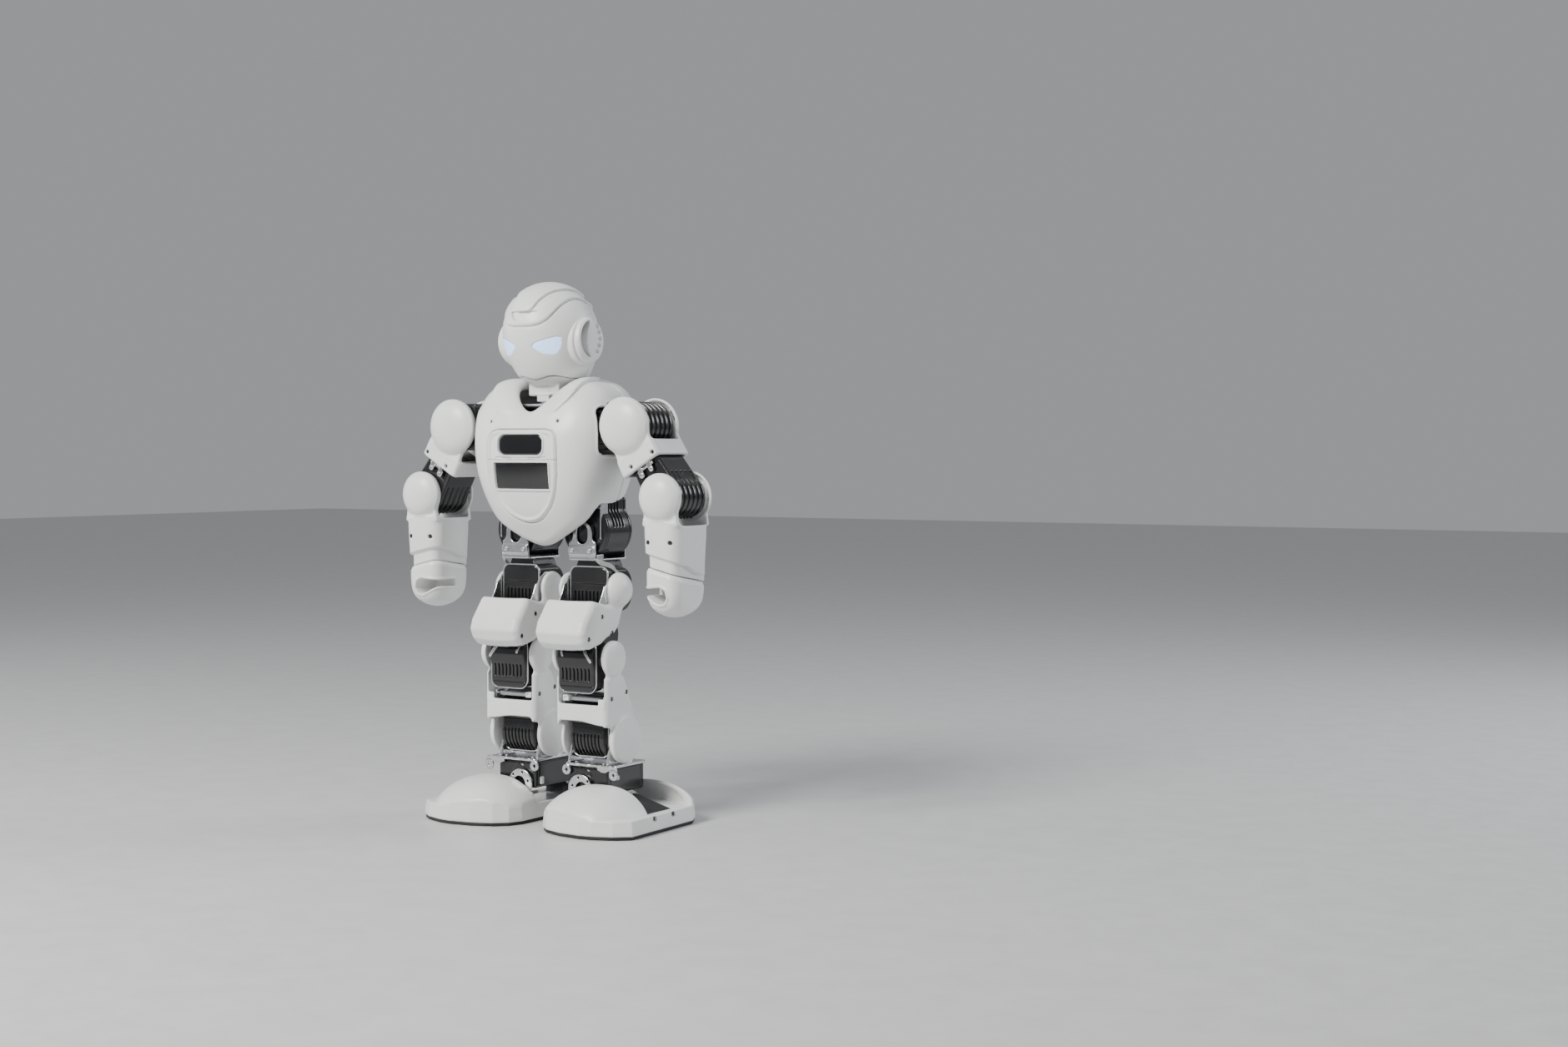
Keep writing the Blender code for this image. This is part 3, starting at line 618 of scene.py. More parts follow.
def back_field(p):
    x, y, z = p
    shell = torso_shell(p, None)
    shell = soft_max(shell, TORSO_SPLIT_Y + 0.25 - y, 0.8)
    outer = torso_outer(p)
    behind = 15.0 - y
    tools = [rod(p, "y", BUTTON, 5.1, 10, 60), rod(p, "y", JACK, 4.3, 10, 60)]
    for z0 in np.arange(255.5, 277.5, 4.2):  # sound slots, in front of the speaker
        half = math.sqrt(max(12.5**2 - (z0 - 266.0) ** 2, 4.0))
        tools.append(np.maximum(stadium(x, z, (-half, z0), (half, z0), 0.95) + 0 * y, behind))
    for z0 in (246.0, 249.5, 253.0, 256.5):  # cooling slots on both sides
        tools.append(np.maximum(stadium(np.abs(x), z, (26, z0), (41, z0), 0.8) + 0 * y, behind))
    shell = cut(shell, *tools, round_to=0.7)
    service = rectangle(np.abs(x), z, (-22, 281.5), (22, 303.5), 4.0) + 0 * y
    shell = groove(shell, np.maximum(np.abs(service), behind * 0.2), 0.8, 0.7)
    for x0, z0 in ((38, 300), (44, 262), (36, 240)):  # screw wells
        well = np.maximum(disc(np.abs(x), z, (x0, z0), 2.3) + 0 * y, -(outer + 1.6))
        shell = soft_max(shell, -np.maximum(well, behind), 0.7)
    return shell


def panel_field(low, high, window):
    def field(p):
        x, y, z = p
        outer = torso_outer(p)
        edge = shield(x, z, 0.3) + 0 * y
        bead = 0.9 * fade(1.0 - np.abs(edge + 1.8) / 2.0)
        inner_flat = 0.35 * fade((-edge - 3.0) / 1.0)
        sheet = soft_max(outer - bead + inner_flat, -(outer + TORSO_WALL), 0.6)
        sheet = soft_max(sheet, edge, 1.0)
        sheet = soft_max(sheet, np.maximum(low + 0.1 - z, z - high + 0.1), 0.4)
        sheet = np.maximum(sheet, y + 26.0)
        hole = window(x, z) + 0 * y
        sheet = soft_min(sheet, np.maximum(np.abs(hole - 0.9) - 0.6, np.abs(outer - 0.2) - 0.4), 0.7)
        sheet = soft_max(sheet, -hole, 0.8)
        slot = rectangle(x, z, (-22.5, 260.9), (22.5, 262.5), 0.7) + 0 * y
        tab = rectangle(x, z, (-7.5, 260.5), (7.5, 262.9), 1.0) + 0 * y
        recess = np.maximum(soft_max(slot, -tab, 0.5), -(outer + 1.1))
        return soft_max(sheet, -recess, 0.4)
    return field


def upper_window(x, z, inset=0.0):
    return rectangle(x, z, *UPPER_WINDOW) + inset


def lower_window(x, z, inset=0.0):
    return outline(x, z, LOWER_WINDOW) - 0.6 + inset


def window_field(window):
    def field(p):
        x, y, z = p
        outer = torso_outer(p)
        sheet = soft_max(outer + 1.0, -(outer + 2.4), 0.4)
        return np.maximum(soft_max(sheet, window(x, z, 0.3) + 0 * y, 0.6), y + 30.0)
    return field


def make_torso():
    piece("chest", chest_field, ((-58, -51, 199), (58, 5, 322)), 0.8, "white_shell", "torso",
          ["chest_shell"])
    piece("back", back_field, ((-58, 3, 224), (58, 36, 322)), 0.75, "white_shell", "torso",
          ["back_shell"])
    piece("shield_top", panel_field(SHIELD_SEAM_Z, 400, upper_window),
          ((-32, -49, 259.5), (32, -38, 283)), 0.5, "white_shell", "torso",
          ["chest_panel_upper"])
    piece("shield_door", panel_field(0, SHIELD_SEAM_Z, lower_window),
          ((-32, -49, 215), (32, -28, 261)), 0.5, "white_shell", "torso", ["battery_door"])
    piece("sensor_cover", window_field(upper_window), ((-20, -48, 263), (20, -40, 279)), 0.6,
          "smoked_window", "torso", ["sensor_window"])
    piece("display_cover", window_field(lower_window), ((-25, -48, 239), (25, -38, 259)), 0.6,
          "smoked_window", "torso", ["display_window"])


# --- head -----------------------------------------------------------------------------------

HEAD = (0.0, -11.0, 351.0)
HEAD_RADIUS = 34.0
JAW_RADIUS = 46.0  # the lower half is longer, and the jaw cuts it off
HEAD_WALL = 2.6
HEAD_SPLIT_Y = -3.0
BAND_RISE = 1.2
DOME_RISE = 1.8
GROOVE_RISE = 0.1
# Heights round the head, at an angle in degrees from the front: the crest's seam, the top of the
# band above it, and the foot of the middle dome. The hollow between the last two is the brow's.
SEAM_HEIGHT = [(-5, 353.9), (9, 353.7), (17, 354.1), (25, 355.4), (33, 358.2), (40, 362.2), (48, 366.8),
               (57, 370.2), (68, 372.7), (83, 373.8), (97, 372.9), (120, 369.5), (150, 365.5),
               (180, 363.5), (185, 363.4)]
BAND_HEIGHT = [(-5, 364.3), (9, 364.3), (14, 364.2), (19, 364.2), (23, 365.4), (30, 369.4),
               (41, 373.6), (54, 376.0), (69, 376.9), (86, 376.5), (100, 374.3), (125, 371.2),
               (150, 368.6), (180, 367.0), (185, 367.0)]
DOME_HEIGHT = [(-5, 364.4), (9, 364.5), (14, 366.4), (19, 370.8), (27, 375.0), (39, 378.2), (57, 380.0),
               (77, 380.8), (100, 379.8), (125, 377.6), (150, 375.5), (180, 374.5), (185, 374.5)]
EYE_OUTLINE = [(7.2, 340.0), (9.6, 342.0), (14.2, 343.7), (19.3, 345.3), (23.3, 346.5), (25.6, 346.3),
               (25.3, 342.2), (23.9, 338.2), (22.4, 335.9), (20.8, 334.8), (17.8, 334.3), (14.0, 334.8),
               (10.4, 336.8), (8.2, 338.8)]
BROW_OUTLINE = [(-1.0, 364.0), (10.6, 364.0), (8.0, 360.4), (5.0, 358.1), (-1.0, 358.0)]
EAR = (-10.5, 344.2)  # y and z of its middle
EAR_OUT = 36.6


def head_outer(p):
    def stretched(p):
        x, y, z = p
        below = np.minimum(z - HEAD[2], 0.0)
        back = 4.0 * (-below / 33.0) ** 1.5
        height = np.maximum(z - HEAD[2], 0.0) + below * (HEAD_RADIUS / JAW_RADIUS)
        return np.sqrt(x**2 + (y - HEAD[1] - back) ** 2 + height**2) - HEAD_RADIUS
    return true_distance(stretched, p)


def round_head(p):
    return np.degrees(np.arctan2(np.abs(p[0]), -(p[1] - HEAD[1]))) + 0 * p[2]


def jaw_height(x):
    x = np.abs(x)
    return 316.9 + 2.6 * fade(x / 14.0) - 1.6 * fade((x - 15.0) / 8.0)


def eye(p, grow=0.0):
    x, y, z = p
    return np.maximum(outline(np.abs(x), z, EYE_OUTLINE) - grow + 0 * y, y + 8.0)


def brow_pocket(p):
    x, y, z = p
    return np.maximum(outline(np.abs(x), z, BROW_OUTLINE) - 0.5 + 0 * y, y + 20.0)


def head_shell(p):
    x, y, z = p
    outer = head_outer(p)
    shell = soft_max(outer, -(outer + HEAD_WALL), 0.6)
    shell = soft_max(shell, jaw_height(x) + 0.3 - z, 0.9)
    ledge = np.abs(curve(round_head(p), SEAM_HEIGHT) - 0.5 - z)
    return groove(shell, ledge, 1.1, 0.9)


def face_field(p):
    x, y, z = p
    shell = soft_max(head_shell(p), y - HEAD_SPLIT_Y + 0.1, 0.4)
    sunk = soft_max(brow_pocket(p), -(head_outer(p) + 1.3), 0.5)
    return cut(shell, sunk, eye(p), ear_seat(p), round_to=0.6)


def head_back_field(p):
    x, y, z = p
    shell = soft_max(head_shell(p), HEAD_SPLIT_Y + 0.1 - y, 0.4)
    for z0 in (334.0, 338.5, 343.0):
        slot = np.maximum(stadium(x, z, (-8, z0), (8, z0), 0.8) + 0 * y, 12.0 - y)
        shell = soft_max(shell, -slot, 0.6)
    return soft_max(shell, -ear_seat(p), 0.6)


def crest_field(p):
    x, y, z = p
    outer = head_outer(p)
    angle = round_head(p)
    band, dome = curve(angle, BAND_HEIGHT), curve(angle, DOME_HEIGHT)
    seam = curve(angle, SEAM_HEIGHT)
    rise = GROOVE_RISE + (BAND_RISE - GROOVE_RISE) * fade((band - z) / 0.9 + 0.5)
    rise = rise + (DOME_RISE - GROOVE_RISE) * fade((z - dome) / 1.6 + 0.5)
    top = soft_max(outer - rise, (seam + 0.25 - z) * 0.75, 1.6)
    crest = soft_max(top, -(outer + 1.4), 0.3)
    return soft_max(crest, -brow_pocket(p), 0.8)


def lens_field(p):
    outer = head_outer(p)
    return soft_max(soft_max(outer + 0.35, -(outer + 2.0), 0.3), eye(p, -0.12), 0.3)


def ear_seat(p):
    x, y, z = p
    return pushed(disc(y, z, EAR, 14.6), np.abs(x), 28.0, 60.0)


def ear_leaf(y, z):
    leaf = np.maximum(disc(y, z, (-9.6, 345.6), 13.4), -disc(y, z, (0.6, 345.0), 17.2))
    wave = 0.9 * np.sin((z - 338.0) / 3.4)
    return soft_max(leaf, y + 12.5 + wave, 2.0)


def ear_field(p):
    x, y, z = p
    boss = pushed(disc(y, z, (EAR[0] - 0.6, EAR[1]), 17.2), x, 22.0, 32.6, 1.6)
    coin = pushed(disc(y, z, EAR, 15.7), x, 22.0, EAR_OUT - 0.5, 2.6)
    leaf = ear_leaf(y, z) + 0 * x
    ring = soft_max(leaf - 2.2, x - EAR_OUT, 0.8)
    disc_face = soft_min(coin, np.maximum(ring, coin - 0.5), 1.4)
    ear = soft_min(boss, disc_face, 1.2)
    ear = soft_max(ear, -np.maximum(leaf, 31.0 - x), 1.0)
    for y0, z0, tall in ((-3.7, 355.2, 2.6), (-1.7, 350.6, 1.7), (-0.6, 345.9, 1.7),
                         (-1.6, 341.2, 1.6), (-3.7, 336.9, 1.5)):
        ear = soft_max(ear, -egg(p, (EAR_OUT, y0, z0), (2.4, 1.9, tall)), 0.8)
    return np.maximum(ear, -(head_outer(p) + 2.2))


def neck_field(p):
    x, y, z = p
    half = curve(z, [(306, 10.5), (309, 12.5), (312.5, 15.0), (315, 18.2), (317, 20.9), (319.5, 23.0),
                     (324, 25.0)])
    cup = np.sqrt(x**2 + (y + 7.5) ** 2) - half
    cup = cup * 0.75
    overhang = 313.2 - 4.6 * fade((np.abs(x) - 3.0) / 12.0)
    cup = soft_max(cup, (overhang - z) * 0.9, 1.6)
    cup = soft_max(cup, z - jaw_height(x) + 0.05, 0.8)
    stem = block(p, (-13.6, -19.4, 305.6), (13.6, 5.0, 318.0), 1.3)
    tab = block(p, (-5.4, -20.2, 301.6), (5.4, -12.0, 310.0), 0.6)
    neck = join(soft_min(cup, stem, 1.0), tab, round_to=0.4)
    hook = block(p, (-7.5, -20.6, 306.2), (7.5, -18.0, 307.4), 0.5)
    return soft_min(neck, hook, 0.4)


def make_head():
    piece("face", face_field, ((-36, -46, 315), (36, -2, 387)), 0.62, "white_shell", "torso",
          ["head_face_shell"])
    piece("head_back", head_back_field, ((-36, -4, 315), (36, 25, 387)), 0.7, "white_shell",
          "torso", ["head_rear_shell"])
    piece("crest", crest_field, ((-33, -48, 352), (33, 26, 388)), 0.55, "white_shell",
          "torso", ["head_crest"])
    pair("eye", lens_field, ((5, -46, 332), (28, -20, 348)), 0.4, "eye_lens", "torso",
         ["eye_lens"])
    pair("ear", ear_field, ((26, -30, 325), (38, 8, 363)), 0.4, "white_shell", "torso",
         ["ear_disc"])
    piece("neck", neck_field, ((-26, -34, 300), (26, 19, 321)), 0.55, "white_shell", "torso",
          ["neck_shell"])


# --- arms -----------------------------------------------------------------------------------

SHOULDER = (76.7, -10.0, 284.0)
ELBOW = (106.9, -10.0, 234.8)
ARM_LENGTH = math.hypot(ELBOW[0] - SHOULDER[0], ELBOW[2] - SHOULDER[2])
ARM_ALONG = ((ELBOW[0] - SHOULDER[0]) / ARM_LENGTH, (ELBOW[2] - SHOULDER[2]) / ARM_LENGTH)
SLEEVE = ((19.0, -20.0), (31.0, 14.5))  # along and outward from the shoulder
SLEEVE_WALL = 2.6
CUFF = ((91.2, -30.5), (122.6, 12.0))
CUFF_TOP = 217.5
RIB_PITCH = 5.4


def arm_frame(x, z):
    """Distances along the upper arm and outward from it."""
    dx, dz = x - SHOULDER[0], z - SHOULDER[2]
    return dx * ARM_ALONG[0] + dz * ARM_ALONG[1], -dx * ARM_ALONG[1] + dz * ARM_ALONG[0]


def arm_point(along, out):
    return (SHOULDER[0] + ARM_ALONG[0] * along - ARM_ALONG[1] * out,
            SHOULDER[2] + ARM_ALONG[1] * along + ARM_ALONG[0] * out)


def front_cap(p, centre, radius, bulge):
    """A thick round cap in front of a joint, with a nearly flat back."""
    x, y, z = p
    skirt = pushed(disc(x, z, (centre[0], centre[2]), radius), y, -30.0, -24.7, 1.2)
    dome = egg(p, (centre[0], -28.0, centre[2]), (radius, bulge, radius))
    return join(skirt, soft_max(dome, y + 27.0, 0.5), round_to=1.5)


def back_bowl(p, centre, radius, mouth, depth, thick=1.9):
    """A hollow cap behind a joint, open to the front, with ribs inside it."""
    x, y, z = p
    outer = egg(p, (centre[0], mouth, centre[2]), (radius, depth, radius))
    inner = egg(p, (centre[0], mouth, centre[2]), (radius - thick, depth - thick, radius - thick))
    shell = soft_max(soft_max(outer, -inner, 0.4), mouth - y, 0.6)
    dx, dz = x - centre[0], z - centre[2]
    angle = np.arctan2(dz, dx)
    reach = np.sqrt(dx**2 + dz**2)
    spoke = np.abs(np.sin(angle * 4.0)) * reach / 4.0 - 0.55
    ribs = common(spoke, inner - 0.4, mouth + 2.6 - y, round_to=0.4)
    hub = pushed(np.abs(reach - 5.0) - 0.8, y, mouth + 2.2, mouth + depth - 1.0, 0.3)
    return join(shell, ribs, np.maximum(hub, inner - 0.3), round_to=0.5)


def upper_arm_field(p):
    x, y, z = p
    u, n = arm_frame(x, z)
    cheek_points = [arm_point(SLEEVE[1][0] - 1, SLEEVE[0][1] + 1),
                    arm_point(SLEEVE[1][0] - 1, SLEEVE[1][1] - 1), arm_point(6.0, 14.5),
                    arm_point(-4.0, 0.0), arm_point(6.0, -16.2)]
    cheek = soft_min(disc(x, z, (SHOULDER[0], SHOULDER[2]), 16.4), outline(x, z, cheek_points), 5.0)
    front = pushed(cheek, y, -28.3, -24.8, 1.0)
    rear = pushed(cheek + 0.8, y, 8.9, 11.2, 0.6)
    tube = pushed(rectangle(n, y, (SLEEVE[0][1], -28.3), (SLEEVE[1][1], 12.0), 4.5), u,
                  SLEEVE[0][0], SLEEVE[1][0], 0.9)
    cover = soft_min(join(front, tube, round_to=2.5), rear, 0.8)
    hollow = rectangle(n, y, (SLEEVE[0][1] + SLEEVE_WALL, -25.4),
                       (SLEEVE[1][1] - SLEEVE_WALL, 9.2), 2.5)
    cover = soft_max(cover, -np.maximum(hollow, 11.0 - u), 0.6)
    cap = front_cap(p, SHOULDER, 19.6, 8.8)
    cover = soft_min(cover, cap, 1.8)
    cover = soft_min(cover, back_bowl(p, SHOULDER, 19.6, 8.7, 10.0), 0.6)
    for place in (arm_point(30.3 - 2.4, 11.0), arm_point(30.3 - 2.8, -9.5)):
        cover = soft_max(cover, -rod(p, "y", (place[0], 0, place[1]), 1.5, -40, -20), 0.8)
    return cover


def ribs(body, y, where, low, high, depth=1.3):
    """Cooling fins round a servo's end, between two places along the shaft."""
    count = int((high - low) / RIB_PITCH)
    for i in range(count + 1):
        y0 = (low + high) / 2 + (i - count / 2) * RIB_PITCH
        slot = np.maximum(np.abs(y - y0) - 1.0, -(body + depth))
        body = soft_max(body, -np.maximum(slot, where), 0.7)
    return body


def shoulder_servo_field(p):
    x, y, z = p
    flat = join(disc(x, z, (SHOULDER[0], SHOULDER[2]), 17.0),
                rectangle(x, z, (58.0, 267.3), (76.0, 300.7), 2.0), round_to=1.0)
    body = pushed(flat, y, -24, 8, 1.6)
    body = ribs(body, y, 72.0 - x, -20.5, 4.5)
    return groove(body, y + 22.2 + 0 * x, 0.6, 0.5)


def elbow_servo_field(p):
    x, y, z = p
    corners = [arm_point(22.3, -12.2), arm_point(22.3, 9.8), arm_point(ARM_LENGTH, 14.3),
               arm_point(ARM_LENGTH, -14.3)]
    flat = join(disc(x, z, (ELBOW[0], ELBOW[2]), 14.5), outline(x, z, corners), round_to=1.0)
    body = pushed(flat, y, -24, 7, 1.6)
    u, n = arm_frame(x, z)
    body = ribs(body, y, 44.0 - u, -20.0, 3.5)
    for y0 in np.arange(-20.0, 4.1, 4.0):
        body = soft_min(body, ball(p, (ELBOW[0] + 3.5, y0, ELBOW[2] - 14.2), 0.95), 0.2)
    return body


def wrist_height(x, y):
    return 188.5 - 7.0 * (x - CUFF[0][0]) / 30.0 - 6.5 * (y - CUFF[0][1]) / 42.0


def forearm_plan(p):
    """The forearm and hand as one round-edged bar that narrows to the wrist."""
    x, y, z = p
    shrink = 1.1 * fade((214.0 - z) / 30.0)
    return rectangle(x, y, CUFF[0], CUFF[1], 9.5) + shrink


def forearm_field(p):
    x, y, z = p
    low = wrist_height(x, y)
    plan = forearm_plan(p)
    band = fade((low + 9.5 - 4.0 * fade((y + 20) / 20.0) - z) / 1.3)
    plan = plan + 2.6 * band * fade((6.0 - y) / 20.0 + 0.35)
    top = CUFF_TOP + 1.5 * fade((-20.0 - y) / 8.0) - 2.0 * fade((x - ELBOW[0]) / 16.0)
    cuff = soft_max(plan, z - top, 0.8)
    cuff = soft_max(cuff, low + 0.25 - z, 0.9)
    hollow = common(rectangle(x, y, (CUFF[0][0] + 2.4, -24.4), (CUFF[1][0] - 2.4, 7.9), 6.0),
                    196.0 - z)
    cuff = soft_max(cuff, -hollow, 0.6)
    throat = [(ELBOW[0] - 14.6, CUFF_TOP - 2), (ELBOW[0] + 14.6, CUFF_TOP - 2),
              (ELBOW[0] + 12.6, ELBOW[2] - 5), (ELBOW[0] - 12.6, ELBOW[2] - 5)]
    cheek = soft_min(disc(x, z, (ELBOW[0], ELBOW[2]), 13.2), outline(x, z, throat), 3.0)
    front = pushed(cheek, y, -28.6, -24.8, 1.0)
    rear = pushed(cheek, y, 8.2, 10.8, 0.7)
    shell = soft_min(cuff, join(front, rear), 2.4)
    shell = soft_min(shell, front_cap(p, ELBOW, 16.3, 8.6), 2.0)
    shell = soft_min(shell, back_bowl(p, ELBOW, 18.0, 7.8, 7.4, 1.8), 0.8)
    for x0 in (ELBOW[0] - 9.0, ELBOW[0] + 9.0):
        shell = soft_max(shell, -rod(p, "y", (x0, 0, 204.0), 1.5, -45, -22), 0.8)
    return shell


def hand_field(p):
    x, y, z = p
    low = wrist_height(x, y)
    plan = forearm_plan(p) + 0.4
    plan = plan + 1.5 * fade((low - 1.0 - z) / -3.0 + 1.0) * 0.5
    hand = soft_max(plan, z - low + 0.25, 2.2)
    floor = egg(p, ((CUFF[0][0] + CUFF[1][0]) / 2, -9.5, 178.0), (21.5, 27.5, 26.3))
    hand = soft_max(hand, np.where(z < 178.0, floor, -8.0 + 0 * floor), 5.0)
    mouth = [(80.0, 168.6), (95.0, 167.4), (102.0, 163.6), (106.0, 161.8), (110.0, 162.6),
             (112.0, 166.0), (111.0, 170.6), (107.0, 172.8), (95.0, 171.6), (80.0, 171.2)]
    grip = np.maximum(outline(x, z, mouth) - 0.3 + 0 * y, y + 8.0)
    lip = np.maximum(np.abs(grip - 0.8) - 0.8, hand - 0.5)
    hand = soft_min(hand, lip, 1.0)
    return soft_max(hand, -grip, 1.2)


def arm_link_field(p):
    """Two plated straps and a cross bar that carry the elbow's servo from the sleeve."""
    x, y, z = p
    u, n = arm_frame(x, z)
    strap = pushed(rectangle(u, n, (26.0, -8.0), (38.5, -3.6), 1.6), y, -27.0, -25.8, 0.4)
    second = pushed(rectangle(u, n, (26.0, 1.2), (38.5, 5.0), 1.6), y, -27.0, -25.8, 0.4)
    bar = pushed(rectangle(u, y, (32.0, -26.4), (34.0, -24.6), 0.5), n, -9.5, 6.5, 0.4)
    screws = [rod(p, "y", (a[0], 0, a[1]), 1.1, -27.8, -26.5, 0.3)
              for a in (arm_point(36.4, -5.8), arm_point(36.4, 3.1))]
    return join(strap, second, bar, *screws, round_to=0.3)


def shoulder_bracket_field(p):
    x, y, z = p
    plate = pushed(rectangle(y, z, (-22, 270), (3, 298), 4.0), x, 54.9, 57.0, 0.3)
    hub = rod(p, "x", SHOULDER, 9.0, 44.4, 55.5, 0.6)
    collar = rod(p, "x", SHOULDER, 11.0, 53.2, 55.2, 0.5)
    screws = [rod(p, "x", (0, y0, z0), 1.5, 53.6, 55.4, 0.4)
              for y0 in (-18.5, -1.0) for z0 in (274.0, 294.0)]
    return join(plate, hub, collar, *screws, round_to=0.3)


def pitch_servo_field(p):
    x, y, z = p
    body = block(p, (17, -24, 267), (44, 6, 297), 3.0)
    boss = np.maximum(rod(p, "x", SHOULDER, 12.5, 30, 43.9, 0.8), 15.0 - x)
    body = soft_min(soft_max(body, x - 42.6, 0.6), boss, 0.6)
    for z0 in (271.5, 292.5):
        for y0 in (-20.0, 2.0):
            body = soft_max(body, -rod(p, "x", (0, y0, z0), 1.7, 41.2, 50), 0.4)
            body = soft_min(body, rod(p, "x", (0, y0, z0), 1.1, 40.0, 42.0, 0.3), 0.2)
    for y0 in (-16.0, -11.0, -6.0, -1.0):
        body = soft_max(body, -block(p, (20, y0 - 0.9, 296), (38, y0 + 0.9, 300), 0.4), 0.5)
    return body


def make_arms():
    pair("upper_arm", upper_arm_field, ((56, -38, 246), (107, 20, 305)), 0.6, "white_shell",
         "upper_arm", ["upper_arm_cover"])
    pair("forearm", forearm_field, ((88, -38, 174), (126, 17, 254)), 0.6, "white_shell",
         "forearm", ["forearm_shell"])
    pair("hand", hand_field, ((90, -31, 151), (124, 13, 190)), 0.55, "white_shell",
         "forearm", ["hand"])
    pair("shoulder_servo", shoulder_servo_field, ((57, -25, 266), (95, 9, 302)), 0.5, 
         "servo_case", "shoulder", ["shoulder_roll_servo"])
    pair("elbow_servo_case", elbow_servo_field, ((76, -25, 219), (123, 8, 272)), 0.5, 
         "servo_case", "upper_arm", ["elbow_servo"])
    pair("shoulder_plate", shoulder_bracket_field, ((43, -23, 269), (58, 4, 299)), 0.5, 
         "bracket_metal", "shoulder", ["shoulder_bracket"])
    pair("pitch_servo", pitch_servo_field, ((16, -25, 266), (45, 7, 299)), 0.6, 
         "servo_case", "torso", ["shoulder_pitch_servo"])
    pair("arm_link", arm_link_field, ((88, -29, 242), (104, -24, 266)), 0.35, 
         "bracket_metal", "upper_arm")


# --- legs -----------------------------------------------------------------------------------

LEG_X = 30.0
HIP_ROLL = (LEG_X, 4.0, 210.0)
HIP = (LEG_X, 0.0, 168.0)
KNEE = (LEG_X, -10.0, 120.6)
ANKLE = (LEG_X, 4.0, 62.3)
ANKLE_ROLL = (LEG_X, 12.0, 35.0)
SHELL_WALL = 2.6
THIGH_X = (7.7, 51.5)
SHANK_X = (9.5, 54.8)
SERVO_X = (14.6, 46.6)
ANKLE_SERVO_X = (16.6, 46.4)
HUB_RADIUS = 7.5
SCREW_HOLE = 1.65
SCREW_DEPTH = 0.7  # how far the dark screw heads sit below a side wall
THIGH_SCREWS = ((-19.0, 150.4), (-34.6, 135.6), (-7.2, 138.2))
SHANK_SCREWS = ((-12.7, 92.1), (4.9, 95.6))
HIP_SERVO_FRONT = -8.0


def fins(body, across, first, last, pitch, where, depth=1.4):
    """Cooling slots across a servo, each cut to the same depth below its skin."""
    skin = body
    for place in np.arange(first, last + 0.01, pitch):
        slot = np.maximum(np.abs(across - place) - 0.7, -(skin + depth))
        body = soft_max(body, -np.maximum(slot, where), 0.5)
    return body


def pillow(p, axis_point, radius, face, rise, outward):
    """A low round cushion on a side wall, over a joint."""
    x, y, z = p
    radii = (rise * 2.1, radius * 1.42, radius * 1.42)
    crown = egg(p, (face - outward * rise * 1.1, axis_point[1], axis_point[2]), radii)
    edge = disc(y, z, (axis_point[1], axis_point[2]), radius)
    return common(edge, crown, (face - outward * 2.0 - x) * outward, round_to=1.6)


def hubs(body, p, axis, centre, radius, ends, reach, edge):
    """Round hubs on both ends of a servo, on its axis."""
    for end in ends:
        body = soft_min(body, rod(p, axis, centre, radius, end - reach, end + reach, edge), edge)
    return body


def side_holes(shell, p, places, *spans):
    """Screw holes through both side walls: places are (y, z) and spans are in x."""
    for y0, z0 in places:
        for low_x, high_x in spans:
            shell = soft_max(shell, -rod(p, "x", (0, y0, z0), SCREW_HOLE, low_x, high_x), 0.7)
    return shell


def strand(p, points, radius):
    """A round wire along a line of points."""
    nearest = None
    for start, end in zip(points, points[1:]):
        step = [b - a for a, b in zip(start, end)]
        size = sum(s * s for s in step)
        along = np.clip(sum((c - a) * s for c, a, s in zip(p, start, step)) / size, 0.0, 1.0)
        gap = np.sqrt(sum((c - a - along * s) ** 2 for c, a, s in zip(p, start, step)))
        nearest = gap if nearest is None else soft_min(nearest, gap, 0.4)
    return nearest - radius


def rim_plate(p, low, high, radius, near, far, wall=0.7, lip=2.2):
    """A thin plate round a servo that shows only as a bright edge. low and high are (x, z)."""
    x, y, z = p
    plate = rectangle(x, z, low, high, radius)
    return pushed(np.maximum(plate, -(plate + wall + lip)), y, near, far, 0.2)


def screw_field(p, axis, place, radius=1.5, height=0.8):
    """A pan-head screw with a cross recess, standing on a face that looks along an axis."""
    i = "xyz".index(axis)
    out = p[i] - place[i]
    a, b = [c - d for j, (c, d) in enumerate(zip(p, place)) if j != i]
    reach = np.sqrt(a * a + b * b)
    facing = np.sign(height)
    head = soft_max(reach - radius, np.abs(out - height / 2) - abs(height) / 2, 0.5)
    cross = np.minimum(np.maximum(np.abs(a) - 0.22, np.abs(b) - radius * 0.6),
                       np.maximum(np.abs(b) - 0.22, np.abs(a) - radius * 0.6))
    return np.maximum(head, -np.maximum(cross, (height * 0.4 - out) * facing))


def hip_servo_field(p):
    x, y, z = p
    flat = join(disc(x, z, (HIP_ROLL[0], HIP_ROLL[2]), 19.5),
                rectangle(x, z, (16.0, 214.0), (44.0, 233.7), 2.0), round_to=2.0)
    body = pushed(flat, y, -11, 20, 1.8)
    body = fins(body, y, -2.0, 12.0, 3.6, 213.0 - z + 0 * x)
    for place in (-8.2, 16.4):
        body = groove(body, y - place + 0 * x, 0.6, 0.6)
    horn = rod(p, "y", HIP_ROLL, 7.6, -12.2, -10.5, 0.4)
    bolt_ring = pushed(np.abs(disc(x, z, (HIP_ROLL[0], HIP_ROLL[2]), 13.5)) - 0.8, y, -11.4, -10.5,
                       0.3)
    return join(body, horn, bolt_ring, round_to=0.3)


